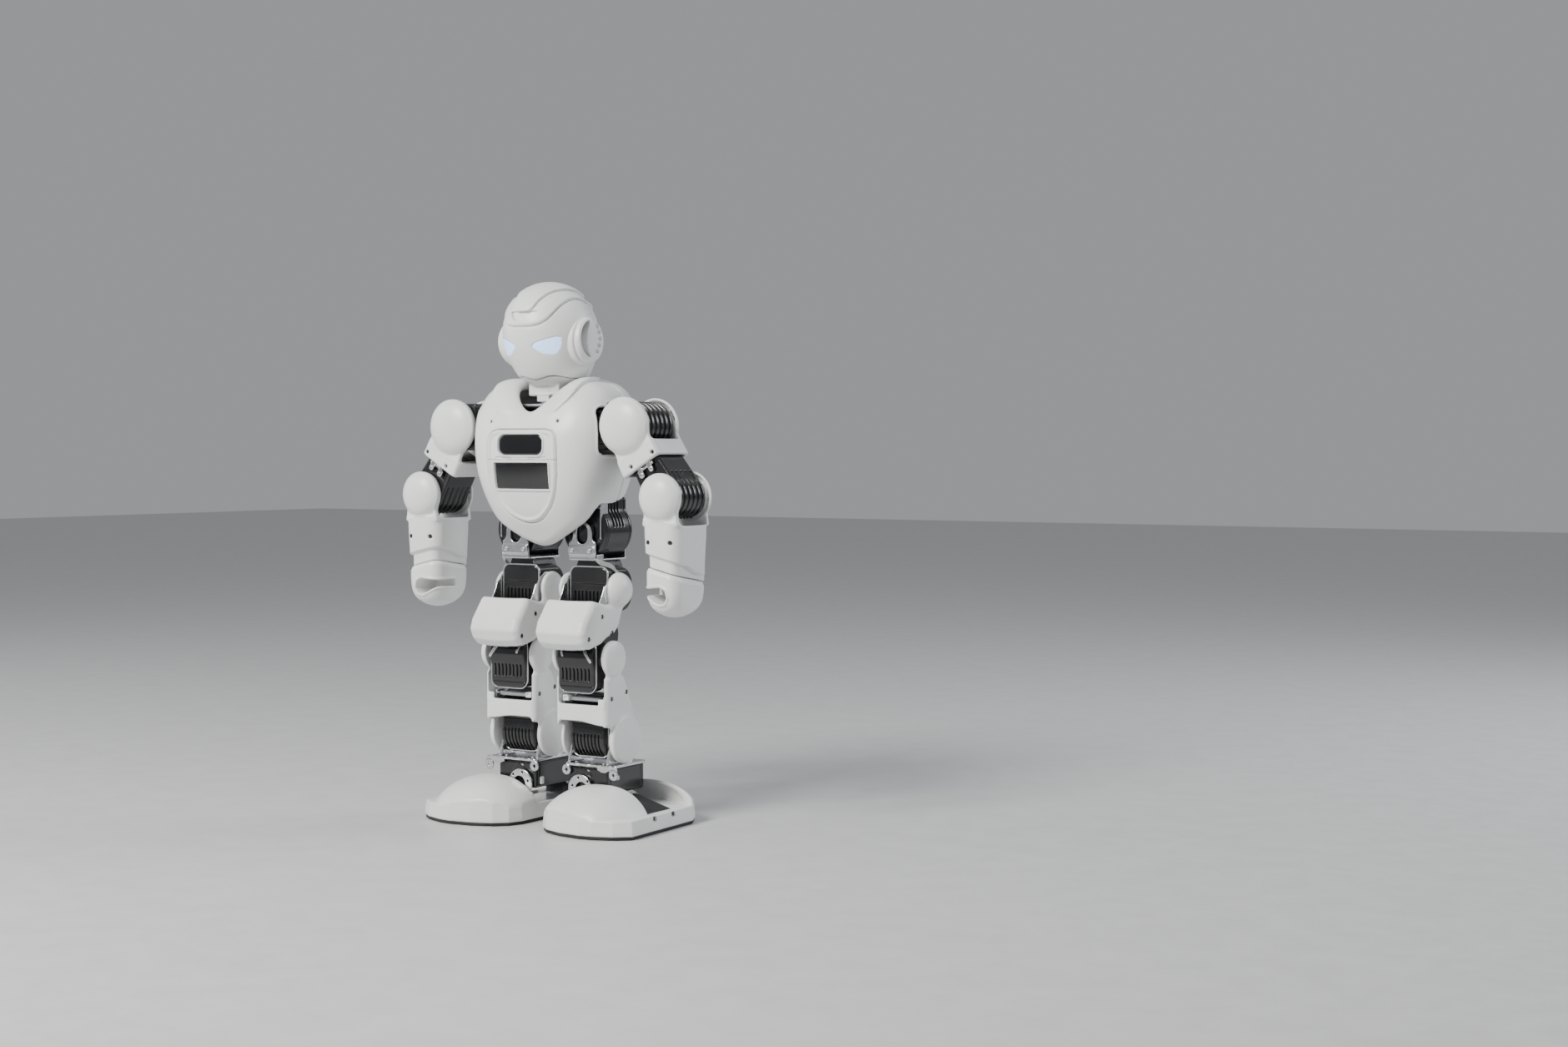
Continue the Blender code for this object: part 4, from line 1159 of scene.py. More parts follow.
def hip_bracket_field(p):
    x, y, z = p
    arch = join(rectangle(x, z, (18.4, 189.4), (41.6, 202.0), 1.0),
                stadium(x, z, (LEG_X, 204.0), (LEG_X, 208.5), 8.4), round_to=5.0)
    keyhole = stadium(x, z, (LEG_X, 205.5), (LEG_X, 210.0), 4.7)
    front = pushed(np.maximum(arch, -keyhole), y, -14.5, -12.9, 0.4)
    rear = pushed(np.maximum(arch, -disc(x, z, (LEG_X, 210.0), 5.0)), y, 21.2, 23.2, 0.4)
    strip = pushed(rectangle(x, z, (18.4, 192.6), (41.6, 199.3), 2.2), y, -15.7, -14.0, 0.5)
    floor = pushed(rectangle(x, y, (17.6, -14.4), (42.4, 23.2), 3.0), z, 189.2, 190.3, 0.3)
    side = pushed(rectangle(y, z, (-13.6, 189.3), (-6.0, 193.5), 1.0), x, 42.0, 42.9, 0.2)
    return join(front, rear, strip, floor, side, round_to=0.4)


def hip_frame_field(p):
    """The thin plate beside the hip's servo, seen as one bright upright edge."""
    x, y, z = p
    plate = pushed(rectangle(y, z, (-12.6, 204.0), (-4.0, 232.0), 1.5), x, 44.3, 45.2, 0.2)
    foot = pushed(rectangle(x, z, (40.0, 226.0), (45.2, 232.0), 1.0), y, -12.6, -11.4, 0.2)
    return join(plate, foot, round_to=0.4)


def hip_pitch_servo_field(p):
    x, y, z = p
    flat = rectangle(y, z, (-26.0, 151.5), (24.0, 184.4), 14.0)
    body = pushed(flat, x, *SERVO_X, 1.8)
    front = pushed(rectangle(x, z, (SERVO_X[0], 151.5), (SERVO_X[1], 184.4), 5.0), y,
                   HIP_SERVO_FRONT, 40.0, 1.2)
    body = common(body, front, round_to=0.5)
    body = fins(body, x, 19.0, 42.2, 3.3, np.maximum(y, np.abs(z - 161.0) - 6.0))
    body = fins(body, x, 19.0, 42.2, 3.3, np.maximum(12.0 - y, np.abs(z - 168.0) - 9.0))
    body = groove(body, z - 172.0 + 0 * y, 0.6, 0.5)
    body = hubs(body, p, "x", HIP, HUB_RADIUS, SERVO_X, 0.9, 0.3)
    mount = outline(x, z, [(18.5, 183.0), (41.5, 183.0), (39.0, 189.0), (21.0, 189.0)])
    return soft_min(body, pushed(mount, y, -7.4, 19.0, 0.6), 0.4)


def hip_wires_field(p):
    """Three short wires glued over the hip's pitch servo, from its bracket to a side plug."""
    wires = []
    for i in range(3):
        shift = i * 1.3
        wires.append(strand(p, [
            (40.6, -13.6 + shift * 0.4, 190.9 - shift * 0.6),
            (43.0, -12.4 + shift * 0.6, 189.4 - shift * 0.9),
            (44.8, -9.0 + shift * 0.6, 188.2 - shift), (46.4, -5.0 + shift * 0.5, 187.0 - shift),
            (47.5, -0.6 + shift * 0.5, 184.6 - shift * 0.9), (47.9, 1.8 + shift * 0.6, 181.2),
            (47.9, 1.8 + shift * 0.7, 178.4)], 0.55))
    return join(*wires)


def hip_plug_field(p):
    plug = block(p, (46.3, -0.6, 173.4), (48.7, 5.0, 179.0), 0.8)
    step = block(p, (46.3, 0.4, 171.6), (48.2, 4.0, 174.6), 0.4)
    return join(plug, step, round_to=0.3)


def thigh_side(y, z):
    core = [(-26.4, 158.2), (-36.4, 145.0), (-38.2, 139.4), (-36.4, 135.4), (-32.4, 131.6),
            (-20.0, 134.4), (-13.5, 138.0), (-5.5, 140.2), (-1.0, 144.5), (2.5, 154.0),
            (-15.0, 155.6)]
    return soft_min(outline(y, z, core) - 4.0, disc(y, z, (HIP[1] + 2.0, HIP[2]), 11.8), 8.0)


def thigh_field(p):
    x, y, z = p
    across = (x - sum(THIGH_X) / 2) / 21.9
    low = z + 1.4 * (1.0 - across**2) * fade((138.0 - z) / 8.0)
    side = thigh_side(y, low)
    shell = pushed(side, x, *THIGH_X, 4.8)
    hollow = outline(y, low, [(-26.6, 176.0), (-26.6, 160.6), (-37.0, 145.0), (-38.8, 139.2),
                              (-36.2, 134.8), (-31.0, 118.0), (42.0, 118.0), (42.0, 202.0),
                              (-26.6, 202.0)])
    inside = pushed(hollow, x, THIGH_X[0] + SHELL_WALL, THIGH_X[1] - SHELL_WALL, 1.8)
    shell = soft_max(shell, -inside, 0.9)
    above = np.maximum(161.4 + 0.9 * across**2 - z, y + 24.0)
    shell = soft_max(shell, -above, 1.2)
    bulge = np.maximum(egg(p, (49.5, HIP[1] + 2.6, HIP[2]), (8.2, 12.6, 12.2)), 49.4 - x)
    shell = soft_min(shell, bulge, 3.0)
    shell = soft_min(shell, pillow(p, HIP, 11.8, THIGH_X[0], 2.4, -1), 2.0)
    shell = groove(shell, np.maximum(np.abs(x - LEG_X), y + 24.0), 0.35, 0.25)
    return side_holes(shell, p, THIGH_SCREWS, (0.0, 9.6), (50.4, 60.0))


def thigh_frame_field(p):
    """The plated arms inside the thigh, from the hip's axis down to the knee's servo."""
    x, y, z = p
    arm = [(-13.0, 171.0), (-16.5, 164.0), (-26.0, 149.0), (-28.0, 142.0), (-22.0, 136.0),
           (-4.0, 136.0), (1.0, 150.0), (9.0, 166.0)]
    flat = join(disc(y, z, (HIP[1], HIP[2]), 11.4), outline(y, z, arm), round_to=4.0)
    flat = np.maximum(flat, -stadium(y, z, (-14.0, 152.0), (-18.0, 144.0), 3.6))
    low = pushed(flat, x, 12.2, 13.2, 0.25)
    high = pushed(flat, x, 47.8, 48.8, 0.25)
    bridge = pushed(rectangle(y, z, (-28.0, 139.5), (-26.4, 147.0), 0.4), x, 12.6, 48.4, 0.3)
    return join(low, high, bridge, round_to=0.4)


def knee_servo_field(p):
    x, y, z = p
    flat = stadium(y, z, (KNEE[1], KNEE[2]), (-7.0, 136.0), 14.2)
    flat = soft_min(flat, disc(y, z, (KNEE[1], KNEE[2]), 15.0), 1.5)
    flat = soft_min(flat, rectangle(y, z, (-22.4, 96.6), (-10.4, 124.0), 1.5), 1.5)
    body = pushed(flat, x, *SERVO_X, 1.8)
    front = pushed(rectangle(x, z, (SERVO_X[0], 96.6), (SERVO_X[1], 190.0), 7.0), y, -80, 80)
    body = common(body, front, round_to=0.5)
    body = fins(body, x, 19.0, 42.2, 3.3, np.maximum(y + 14.0, np.abs(z - 109.0) - 4.5))
    body = fins(body, x, 19.0, 42.2, 3.3, np.maximum(-6.0 - y, np.abs(z - 122.0) - 10.0))
    body = groove(body, z - 101.0 + 0 * y, 0.6, 0.5)
    body = hubs(body, p, "x", KNEE, HUB_RADIUS, SERVO_X, 0.9, 0.3)
    return body


def knee_straps_field(p):
    """Two thin plated straps laid over the front of the knee's servo."""
    x, y, z = p
    face = np.abs(disc(y, z, (KNEE[1], KNEE[2]), 15.4)) - 0.4
    over = np.maximum(np.maximum(face, y + 12.0), 108.0 - z)
    left = stadium(x, z, (16.2, 135.0), (20.6, 122.5), 0.9)
    right = stadium(x, z, (33.0, 135.0), (45.0, 119.0), 1.1)
    return np.maximum(over, np.minimum(left, right))


def shank_side(y, z):
    body = outline(y, z, [(-19.5, 72.0), (-19.5, 106.5), (-14.0, 111.0), (-1.0, 111.0),
                          (3.6, 107.0), (8.2, 97.0), (14.0, 84.0), (18.5, 74.0), (18.5, 66.0)])
    body = soft_min(body, disc(y, z, (KNEE[1], KNEE[2]), 12.6), 5.0)
    return soft_min(body, disc(y, z, (ANKLE[1], ANKLE[2]), 17.5), 4.0)


def shank_field(p):
    x, y, z = p
    side = shank_side(y, z)
    shell = pushed(side, x, *SHANK_X, 4.0)
    inner = (SHANK_X[0] + SHELL_WALL, SHANK_X[1] - SHELL_WALL)
    gap = np.abs(x - sum(inner) / 2) - (inner[1] - inner[0]) / 2
    low_edge = 75.7 - 2.4 * fade((x - 29.0) / 22.0) - 1.2 * fade((15.0 - x) / 4.0)
    front = common(y + 16.9, z - 87.4, low_edge - z)
    rear = common(-side - SHELL_WALL, -y, np.abs(z - 100.4) - 3.8)
    shell = soft_max(shell, -soft_max(gap, -join(front, rear), 2.2), 0.9)
    clip = block(p, (47.0, -19.5, 85.0), (53.2, -16.9, 92.0), 1.25)
    shell = soft_min(shell, clip, 0.8)
    shell = soft_min(shell, pillow(p, KNEE, 12.4, SHANK_X[1], 3.4, 1), 1.6)
    shell = soft_min(shell, pillow(p, ANKLE, 17.2, SHANK_X[1], 2.8, 1), 1.4)
    shell = soft_min(shell, pillow(p, KNEE, 12.2, SHANK_X[0], 2.6, -1), 1.6)
    shell = soft_min(shell, pillow(p, ANKLE, 17.0, SHANK_X[0], 0.8, -1), 1.4)
    return side_holes(shell, p, SHANK_SCREWS, (0.0, 10.6), (53.7, 60.0))


def shank_frame_field(p):
    """The cross bar and its side plates in the middle of the shank."""
    x, y, z = p
    bar = block(p, (17.0, -14.6, 89.4), (45.0, -11.4, 92.6), 0.6)
    plates = []
    for low_x in (13.2, 47.9):
        flat = rectangle(y, z, (-14.6, 78.0), (-5.0, 93.6), 2.0)
        plates.append(pushed(flat, x, low_x, low_x + 1.0, 0.25))
    link = block(p, (13.6, -14.0, 90.4), (48.5, -12.0, 91.6), 0.4)
    return join(bar, link, *plates, round_to=0.3)


def shank_plug_field(p):
    plug = block(p, (14.4, -17.2, 89.2), (19.6, -12.4, 93.4), 0.7)
    return cut(plug, block(p, (15.6, -19.0, 90.3), (18.4, -16.2, 92.3), 0.3), round_to=0.3)


def ankle_servo_field(p):
    x, y, z = p
    flat = stadium(y, z, (ANKLE[1], ANKLE[2]), (1.5, 82.0), 12.6)
    flat = soft_min(flat, disc(y, z, (ANKLE[1], ANKLE[2]), 15.8), 2.0)
    body = pushed(flat, x, *ANKLE_SERVO_X, 1.8)
    body = fins(body, x, 20.4, 43.0, 3.1, np.maximum(y, z - 66.0))
    body = fins(body, x, 20.4, 43.0, 3.1, np.maximum(8.0 - y, np.abs(z - 66.0) - 9.0))
    body = groove(body, z - 73.0 + 0 * y, 0.6, 0.5)
    return hubs(body, p, "x", ANKLE, HUB_RADIUS, ANKLE_SERVO_X, 0.6, 0.3)


def ankle_bracket_field(p):
    x, y, z = p
    arm = join(disc(y, z, (ANKLE[1], ANKLE[2]), 10.5),
               outline(y, z, [(-11.0, 42.8), (-6.5, 60.0), (14.0, 60.0), (21.0, 42.8)]),
               round_to=2.0)
    arm = np.maximum(arm, -disc(y, z, (ANKLE[1], ANKLE[2]), 3.0))
    low = pushed(arm, x, 13.7, 15.7, 0.4)
    high = pushed(arm, x, 47.3, 49.3, 0.4)
    scallop = 1.1 * np.cos((x - 12.0) * 0.62)
    plate = pushed(rectangle(x, y, (13.0, -13.6), (56.0, 27.6), 3.5) - 0.3 * scallop, z, 42.7, 44.6,
                   0.4)
    flange = pushed(np.maximum(rectangle(x, z, (42.0, 39.4), (59.0, 44.6), 1.4),
                               39.9 + 0.8 * scallop - z), y, -13.7, -12.4, 0.3)
    ears = [pushed(disc(x, z, place, 3.7), y, -13.7, -12.4, 0.3)
            for place in ((55.9, 38.2), (14.6, 39.6))]
    holes = [rod(p, "y", (a, 0.0, b), 1.3, -20.0, -8.0) for a, b in ((55.9, 38.2), (14.6, 39.6))]
    bracket = join(low, high, plate, flange, *ears, round_to=0.5)
    return cut(bracket, *holes, round_to=0.3)


def ankle_roll_servo_field(p):
    x, y, z = p
    body = block(p, (15.0, -11.0, 23.0), (49.0, 34.0, 42.3), 2.0)
    body = groove(body, y + 7.0 + 0 * x, 0.6, 0.5)
    body = groove(body, y - 29.5 + 0 * x, 0.6, 0.5)
    return hubs(body, p, "y", ANKLE_ROLL, 5.6, (-11.0, 34.0), 0.5, 0.2)


def ankle_plug_field(p):
    plug = block(p, (13.4, -6.4, 25.6), (15.6, -3.0, 31.0), 0.7)
    twin = block(p, (48.4, -3.6, 32.6), (50.0, 2.6, 36.0), 0.6)
    return join(plug, twin)


def foot_bracket_field(p):
    x, y, z = p
    arch = join(disc(x, z, (27.0, 26.4), 10.4),
                outline(x, z, [(16.4, 10.6), (15.6, 20.0), (38.4, 20.0), (44.0, 12.0),
                               (44.0, 10.6)]), round_to=3.0)
    arch = np.maximum(arch, -disc(x, z, (28.0, 26.4), 5.2))
    for place in ((20.2, 28.6), (25.4, 34.4), (33.6, 32.4)):
        arch = np.maximum(arch, -disc(x, z, place, 0.9))
    front = pushed(arch, y, -14.0, -12.6, 0.3)
    eye = join(disc(x, z, (LEG_X, 35.0), 6.4), rectangle(x, z, (18.0, 10.6), (42.0, 20.0), 2.0),
               outline(x, z, [(22.0, 18.0), (24.6, 32.0), (35.4, 32.0), (38.0, 18.0)]),
               round_to=3.0)
    rear = pushed(np.maximum(eye, -disc(x, z, (LEG_X, 35.0), 2.2)), y, 34.7, 36.0, 0.3)
    floor = pushed(rectangle(x, y, (16.2, -13.8), (43.8, 35.8), 2.0), z, 10.4, 12.2, 0.4)
    return join(front, rear, floor, round_to=0.5)


FOOT_X = (11.5, 93.2)
FOOT_Y = (-57.0, 57.0)
FOOT_SLOTS_Y = (-12.6, 11.0)
RIM_TOP = 13.2
PLATE_END = 19.0
CAP_CENTRE = (49.0, -16.0)
CAP_REACH = (38.0, 41.5)
CAP_HEIGHT = 19.0


def foot_plan(x, y, inset=0.0):
    """The foot seen from above: a long box with cut corners and a bowed toe."""
    x0, x1 = FOOT_X[0] + inset, FOOT_X[1] - inset
    y0, y1 = FOOT_Y[0] + inset, FOOT_Y[1] - inset
    return outline(x, y, [
        (x1, y0 + 14.5), (x1 - 2.7, y1 - 20), (x1 - 9.2, y1 - 8), (x1 - 23, y1 - 1.2),
        (x1 - 35, y1), (x0 + 26, y1), (x0 + 8, y1 - 5), (x0, y1 - 17), (x0, y0 + 25),
        (x0 + 3.5, y0 + 15), (x0 + 12, y0 + 7.5),
        (x0 + 27, y0 + 2), (x0 + 45, y0), (x1 - 24, y0 + 1.4), (x1 - 10, y0 + 6.6)])


def foot_field(p):
    x, y, z = p
    plan = foot_plan(x, y, 1.5) - 1.5
    rim = pushed(plan + 0.9 * fade((z - 4.0) / 9.0), z, 2.3, RIM_TOP, 1.0)
    across = np.abs(x - CAP_CENTRE[0]) / CAP_REACH[0]
    along = np.abs(y - CAP_CENTRE[1]) / CAP_REACH[1]
    reach = (across**2.5 + along**2.5) ** (1 / 2.5)
    top = RIM_TOP - 0.6 + CAP_HEIGHT * np.clip(1.0 - reach**2.6, 0.0, 1.0) ** 0.75
    toe = common(0.62 * (z - top), reach * 38.0 - 38.6, y + 14.6, plan + 0.9, round_to=1.0)
    toe = np.maximum(toe, 6.0 - z)
    outer = egg(p, (50.8, 36.0, 10.5), (39.6, 20.2, 18.6))
    inner = egg(p, (50.8, 29.0, 13.4), (35.4, 18.4, 16.0))
    heel = common(outer, 37.4 - y + 0.12 * (z - 13.0), plan + 0.6, 6.0 - z, round_to=1.4)
    heel = soft_max(heel, -np.maximum(inner, 12.9 - z), 1.0)
    shell = join(rim, toe, heel, round_to=1.0)
    mouth = join(rectangle(x, y, (14.6, -14.4), (50.6, 37.0), 2.0),
                 rectangle(x, y, (40.0, -14.4), (83.6, PLATE_END + 0.4), 2.5), round_to=1.0)
    shell = soft_max(shell, -pushed(mouth, z, 9.0, 80.0), 0.7)
    through = rectangle(x, y, (14.6, -14.4), (78.0, PLATE_END), 1.5)
    shell = soft_max(shell, -np.maximum(through, z - 12.0), 0.4)
    for y0 in FOOT_SLOTS_Y:
        shell = soft_max(shell, -block(p, (89.2, y0 - 2.1, 9.0), (95.0, y0 + 2.1, 12.4), 0.6), 0.5)
    return shell


def foot_slots_field(p):
    """Dark blocks at the bottom of the two square recesses in the outer rim."""
    return join(*[block(p, (88.0, y0 - 2.0, 9.6), (89.9, y0 + 2.0, 12.2), 0.3)
                  for y0 in FOOT_SLOTS_Y])


def foot_plate_field(p):
    """The black cover that slopes from beside the ankle down to the outer rim."""
    x, y, z = p
    wedge = outline(x, z, [(50.7, 10.8), (50.7, 21.0), (52.4, 21.2), (82.8, 13.0), (82.8, 10.8)])
    return pushed(wedge, y, -14.2, PLATE_END, 0.5)


def sole_field(p):
    x, y, z = p
    tread = pushed(foot_plan(x, y, 1.2) - 0.4, z, 0.0, 2.3, 0.5)
    for y0 in np.arange(-49.0, 50.0, 7.0):
        slot = block(p, (19.0, y0 - 1.0, -1.0), (83.0, y0 + 1.0, 0.7), 0.3)
        tread = soft_max(tread, -slot, 0.4)
    filler = block(p, (14.9, -14.1, 1.0), (77.6, 36.5, 10.0), 1.0)
    return join(tread, filler, round_to=0.3)


def leg_screws():
    """The screws of a leg for each body: (axis, place, radius, height) each."""
    hip = [("y", (x0, -15.7, 195.9), 1.7, -0.9) for x0 in (21.9, 37.4)]
    hip += [("z", (x0, y0, 188.6), 1.4, 0.7) for x0 in (20.0, 40.0) for y0 in (-6.0, 16.0)]
    ankle = [("z", (x0, y0, 44.6), 1.4, 0.7) for x0 in (20.0, 44.0) for y0 in (-8.0, 20.0)]
    foot = [("y", (x0, -14.0, 15.0), 1.3, -0.7) for x0 in (20.0, 40.0)]
    return (("hip", hip), ("ankle", ankle), ("foot", foot))


def dark_screws_field(places, depth):
    """Dark screw heads at the bottom of side holes: (face, outward, y, z) each."""
    def field(p):
        heads = []
        for face, outward, y0, z0 in places:
            low, high = sorted((face - outward * (depth + 1.2), face - outward * depth))
            head = rod(p, "x", (0, y0, z0), SCREW_HOLE + 0.4, low, high, 0.2)
            socket = rod(p, "x", (0, y0, z0), 0.6, face - outward * (depth + 0.6) - 0.7,
                         face - outward * (depth + 0.6) + 0.7)
            heads.append(np.maximum(head, -socket))
        return join(*heads)
    return field


def screws_field(screws):
    return lambda p: join(*[screw_field(p, *screw) for screw in screws])


def make_legs():
    x0, x1 = THIGH_X[0] - 4, THIGH_X[1] + 6
    pair("hip_servo", hip_servo_field, ((9, -13, 189), (51, 21, 235)), 0.5, 
         "servo_case", "torso", ["hip_roll_servo"])
    pair("hip_side_plate", hip_frame_field, ((39, -13, 203), (46, -3, 233)), 0.35, 
         "bracket_metal", "torso")
    pair("hip_plates", hip_bracket_field, ((15, -17, 185), (45, 24, 218)), 0.45, 
         "bracket_metal", "hip", ["hip_bracket"])
    pair("hip_pitch_case", hip_pitch_servo_field, ((13, -18, 150), (48, 25, 189)), 0.5, 
         "servo_case", "hip", ["hip_pitch_servo"])
    pair("hip_wires", hip_wires_field, ((39, -15, 176), (50, 5, 193)), 0.22, "white_shell",
         "hip", look=CABLE)
    pair("hip_plug", hip_plug_field, ((45, -2, 170), (50, 6, 181)), 0.3, "white_shell", "hip")
    pair("hip_rim", lambda p: rim_plate(p, (13.9, 150.8), (47.3, 185.1), 5.6, -7.6, -6.2, lip=0.3),
         ((13, -9, 150), (48, -5, 186)), 0.3, "bracket_metal", "hip")
    pair("thigh_shell", thigh_field, ((x0, -42, 124), (x1, 14, 183)), 0.6, "white_shell",
         "thigh", ["thigh_cover"])
    pair("thigh_arms", thigh_frame_field, ((11, -30, 134), (50, 13, 181)), 0.35, 
         "bracket_metal", "thigh")
    pair("thigh_screws", dark_screws_field(
        [(face, outward, y, z) for face, outward in ((THIGH_X[0], -1), (THIGH_X[1], 1))
         for y, z in THIGH_SCREWS], SCREW_DEPTH),
        ((7, -38, 132), (53, -4, 154)), 0.35, "black_trim", "thigh")
    pair("knee_case", knee_servo_field, ((13, -26, 95), (48, 8, 151)), 0.5, "servo_case",
         "thigh", ["knee_servo"])
    pair("knee_straps", knee_straps_field, ((14, -26, 107), (47, -11, 137)), 0.3, 
         "bracket_metal", "thigh")
    pair("knee_rim", lambda p: rim_plate(p, (13.7, 95.7), (47.5, 133.0), 7.4, -21.4, -20.2, lip=0.2),
         ((13, -23, 95), (48, -20, 134)), 0.3, "bracket_metal", "thigh")
    pair("shank_shell", shank_field, ((SHANK_X[0] - 4, -24, 43), (SHANK_X[1] + 5, 23, 135)), 0.6,
         "white_shell", "shank", ["shank_cover"])
    pair("shank_screws", dark_screws_field(
        [(face, outward, y, z) for face, outward in ((SHANK_X[0], -1), (SHANK_X[1], 1))
         for y, z in SHANK_SCREWS], SCREW_DEPTH),
        ((8, -15, 89), (56, 8, 98)), 0.35, "black_trim", "shank")
    pair("shank_frame", shank_frame_field, ((12, -16, 77), (50, -3, 95)), 0.4, "bracket_metal",
         "shank", look=ALLOY)
    pair("shank_plug", shank_plug_field, ((14, -18, 88), (20, -12, 94)), 0.3, "white_shell",
         "shank")
    pair("ankle_case", ankle_servo_field, ((15, -14, 45), (48, 21, 96)), 0.5, "servo_case",
         "shank", ["ankle_pitch_servo"])
    pair("ankle_rim", lambda p: rim_plate(p, (15.0, 48.6), (47.2, 92.0), 6.0, -6.6, -5.4, lip=0.4),
         ((14, -8, 48), (48, -4, 93)), 0.3, "bracket_metal", "shank")
    pair("ankle_plates", ankle_bracket_field, ((10, -15, 33), (62, 29, 74)), 0.45, 
         "bracket_metal", "ankle", ["ankle_bracket"])
    pair("ankle_roll_case", ankle_roll_servo_field, ((14, -13, 22), (50, 36, 43)), 0.5, 
         "servo_case", "ankle", ["ankle_roll_servo"])
    pair("ankle_plugs", ankle_plug_field, ((13, -8, 25), (51, 4, 37)), 0.35, "white_shell",
         "ankle")
    pair("foot_plates", foot_bracket_field, ((14, -15, 10), (46, 37, 42)), 0.45, 
         "bracket_metal", "foot", ["foot_bracket"])
    pair("foot_cover", foot_field, ((10, -59, 1), (95, 59, 35)), 0.7, "white_shell",
         "foot", ["foot_shell"])
    pair("foot_slots", foot_slots_field, ((87, -16, 9), (91, 14, 14)), 0.4, "black_trim",
         "foot")
    pair("foot_top_plate", foot_plate_field, ((50, -15, 10), (84, 20, 22)), 0.5, 
         "black_trim", "foot")
    pair("foot_tread", sole_field, ((11, -58, -1), (94, 58, 11)), 0.8, "sole_rubber",
         "foot", ["foot_sole"])
    for body, screws in leg_screws():
        low = [min(s[1][i] for s in screws) - 3 for i in range(3)]
        high = [max(s[1][i] for s in screws) + 3 for i in range(3)]
        pair(f"{body}_screws", screws_field(screws), (low, high), 0.25, "bracket_metal", body,
             look=ALLOY)


# --- small parts ------------------------------------------------------------------------------


def arm_screws_field(places, face):
    """Dark screw heads inside holes that look to the front: places are (x, z)."""
    def field(p):
        heads = []
        for x0, z0 in places:
            head = rod(p, "y", (x0, 0, z0), 1.9, face + 1.2, face + 2.4, 0.2)
            socket = rod(p, "y", (x0, 0, z0), 0.6, face - 1.0, face + 1.8)
            heads.append(np.maximum(head, -socket))
        return join(*heads)
    return field


def button_field(p):
    """A round button with a slightly domed face and a finger ring."""
    x, y, z = p
    stem = rod(p, "y", BUTTON, 4.5, 28.5, 34.8, 0.7)
    crown = np.maximum(egg(p, (0, 33.6, 292), (4.5, 1.9, 4.5)), 33.4 - y)
    ring = np.abs(disc(x, z, (0, 292), 2.9)) - 0.25
    button = join(stem, crown, round_to=0.3)
    return soft_max(button, -np.maximum(ring, 34.5 - y), 0.2)


def jack_field(p):
    x, y, z = p
    tube = rod(p, "y", JACK, 4.0, 22, 33.5, 0.5)
    flange = pushed(np.abs(disc(x, z, (16, 240), 4.0)) - 0.6, y, 32.6, 33.5, 0.2)
    bore = rod(p, "y", JACK, 2.75, 26, 60)
    pin = rod(p, "y", JACK, 0.8, 25, 32.0, 0.4)
    return join(np.maximum(join(tube, flange, round_to=0.2), -bore), pin)


def speaker_field(p):
    """A loudspeaker: a magnet at the front and an open cone at the back."""
    x, y, z = p
    reach = disc(x, z, (0, 266), 0.0)
    magnet = rod(p, "y", SPEAKER, 7.5, 12, 18, 0.8)
    cone = pushed(reach - (6.5 + 6.0 * fade((y - 16.0) / 7.0)), y, 16, 24.5, 0.3)
    rim = rod(p, "y", SPEAKER, 13.0, 23.5, 26, 0.5)
    dish = np.maximum(reach - (3.0 + 8.0 * fade((y - 18.0) / 7.0)), 18.6 - y)
    cap = ball(p, (0, 19.0, 266), 3.4)
    return join(cut(join(magnet, cone, rim, round_to=0.4), dish, round_to=0.4),
                np.maximum(cap, 18.0 - y))


def main_frame_field(p):
    """The torso's floor, spine and shoulder bar, with lightening holes; its folded edges are shown only
    as round edges.
    """
    x, y, z = p
    floor = block(p, (-38, -14, 234), (38, 16, 236.5), 0.8)
    spine = block(p, (-13, 1, 235), (13, 4, 301), 0.8)
    bar = block(p, (-42, -24, 297.5), (42, 4, 300), 0.8)
    neck = rod(p, "z", (0, -11, 0), 7.5, 299, 303, 0.6)
    frame_parts = join(floor, spine, bar, neck, round_to=1.2)
    for z0 in (246.0, 259.0, 272.0, 285.0):
        frame_parts = cut(frame_parts, np.maximum(disc(x, z, (0, z0), 4.0), np.abs(y - 2) - 6))
    for x0 in (-27.0, 27.0):
        frame_parts = cut(frame_parts, np.maximum(disc(x, y, (x0, -9.0), 4.5), np.abs(z - 299) - 6))
        frame_parts = cut(frame_parts, np.maximum(disc(x, y, (x0, 1.0), 5.5), np.abs(z - 235) - 6))
    return frame_parts


def battery_field(p):
    """Two wrapped cells side by side in one heat-shrunk pack."""
    x, y, z = p
    body = block(p, (-20, -36.5, 231), (20, -24, 256), 3.0)
    valley = pushed(disc(x, y, (0.0, -38.4), 3.0), z, 231.5, 255.5, 0.5)
    body = soft_max(body, -valley, 1.0)
    for z0 in (233.4, 253.6):
        body = groove(body, z - z0 + 0 * x, 0.5, 0.3)
    return body


def control_board_field(p):
    """The control board with its mounting holes. Its chips and sockets are not part of this field."""
    x, y, z = p
    board = block(p, (-16, -21, 240), (16, -19.4, 294), 0.2)
    for x0 in (-13.5, 13.5):
        for z0 in (242.5, 291.5):
            board = cut(board, np.maximum(disc(x, z, (x0, z0), 1.3), np.abs(y + 20) - 3))
    return board


def chips_field(p):
    chips = [block(p, (-7, -22.2, 262), (6, -20.8, 275), 0.3),
             block(p, (8.5, -22.0, 250), (13, -20.8, 258), 0.3),
             block(p, (-13, -22.0, 247), (-8, -20.8, 253), 0.3),
             block(p, (-12, -23.6, 283), (12, -20.8, 288), 0.5)]
    chips += [block(p, (x0, -21.7, 256.5), (x0 + 1.8, -20.8, 259.5), 0.2)
              for x0 in np.arange(-12.0, 7.0, 3.2)]
    return join(*chips)


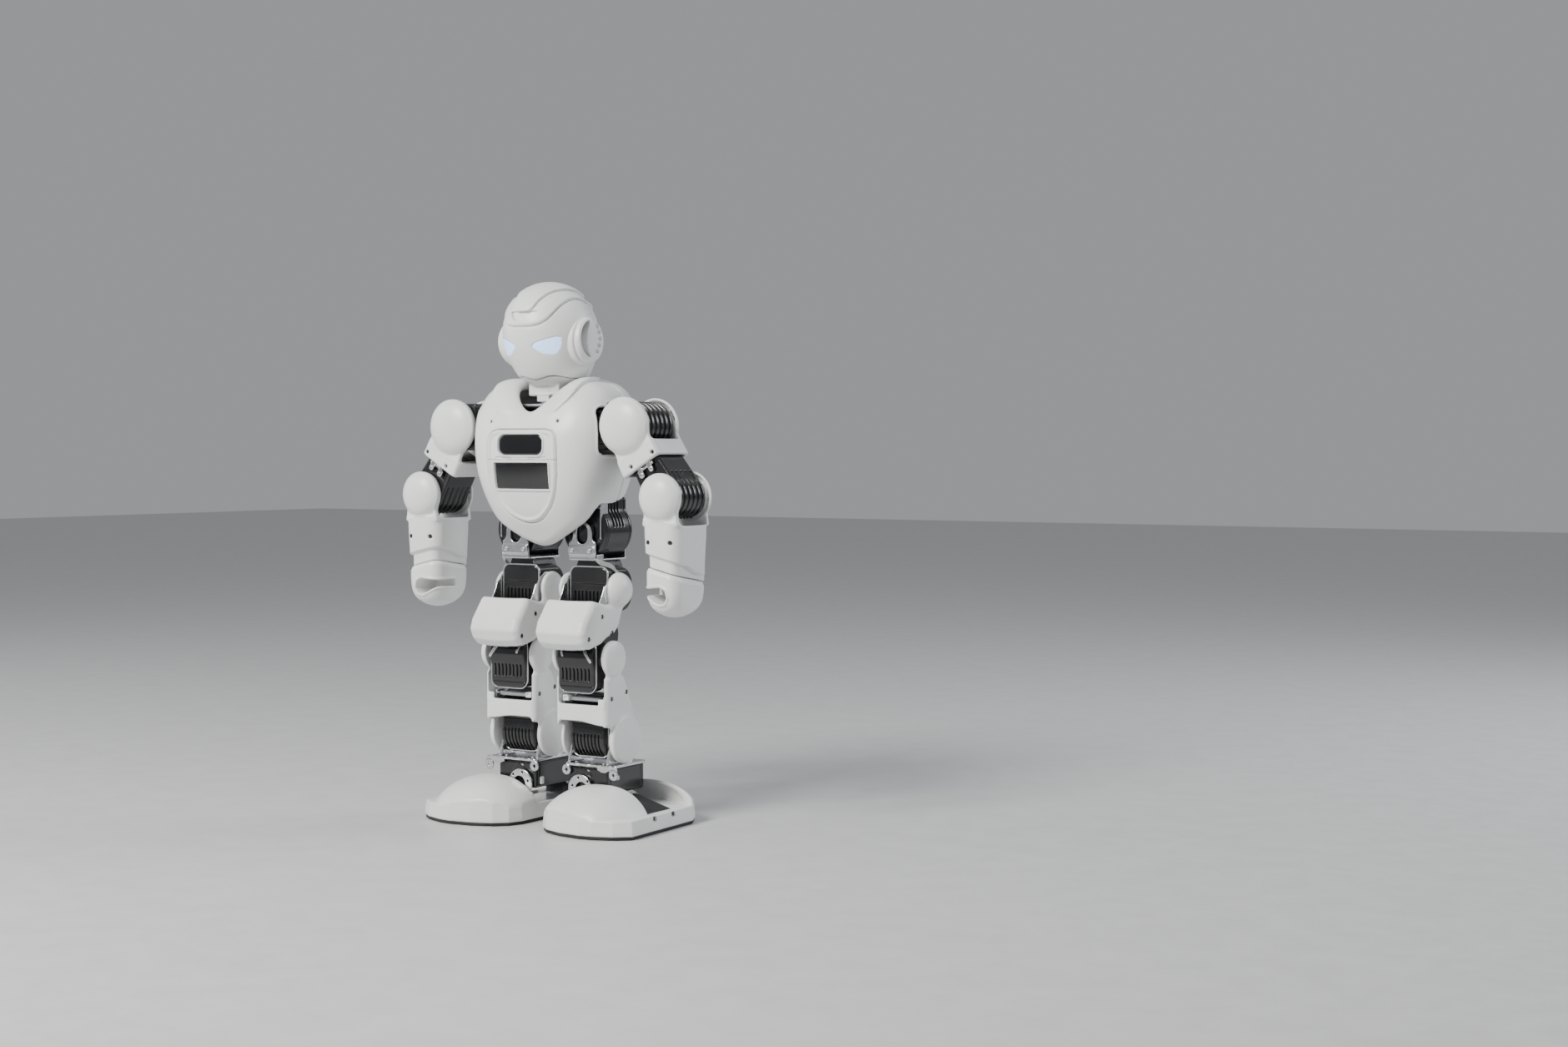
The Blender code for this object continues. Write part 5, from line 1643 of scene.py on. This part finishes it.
def eye_board_field(p):
    """The board behind the eyes, waisted in its middle for the brow's post."""
    x, y, z = p
    board = block(p, (-14, -33, 336), (14, -31.4, 348), 0.3)
    for x0 in (-11.5, 11.5):
        board = cut(board, np.maximum(disc(x, z, (x0, 338.4), 1.0), np.abs(y + 32) - 3))
    return soft_max(board, -np.maximum(disc(x, z, (0, 350.5), 4.5), np.abs(y + 32) - 3), 0.3)


def make_small_parts():
    low, high = arm_point(27.9, 11.0), arm_point(27.5, -9.5)
    pair("upper_arm_screws", arm_screws_field([low, high], -28.3),
         ((86, -28, 252), (110, -25, 274)), 0.3, "black_trim", "upper_arm")
    pair("forearm_screws", arm_screws_field([(ELBOW[0] - 9, 204.0), (ELBOW[0] + 9, 204.0)], -30.2),
         ((94, -30, 201), (120, -26, 207)), 0.3, "black_trim", "forearm")
    for name, field, box, step, slot, body, nodes in (
        ("button", button_field, ((-5, 28, 287), (5, 36, 297)), 0.25, "black_trim",
         "power_button", ["power_button"]),
        ("jack", jack_field, ((11, 21, 235), (21, 34, 245)), 0.3, "black_trim", "torso",
         ["charge_jack"]),
        ("loudspeaker", speaker_field, ((-14, 11, 252), (14, 27, 280)), 0.5, "black_trim",
         "torso", ["speaker"]),
        ("torso_frame", main_frame_field, ((-43, -25, 233), (43, 17, 304)), 0.7, 
         "inner_frame", "torso", ["main_frame"]),
        ("battery", battery_field, ((-21, -38, 230), (21, -23, 257)), 0.6, "battery_wrap",
         "torso", ["battery_pack"]),
        ("main_board", control_board_field, ((-17, -22, 239), (17, -19, 295)), 0.45, 
         "circuit_board", "torso", ["control_board"]),
        ("chips", chips_field, ((-14, -24, 246), (14, -20, 289)), 0.4, "black_trim",
         "torso", []),
        ("lamp_board", eye_board_field, ((-15, -34, 335), (15, -31, 349)), 0.4, 
         "circuit_board", "torso", ["eye_board"]),
    ):
        piece(name, field, box, step, slot, body, nodes)


dress_cad_nodes()
make_torso()
make_head()
make_arms()
make_legs()
make_small_parts()
make_stage()
make_lights()
make_camera()
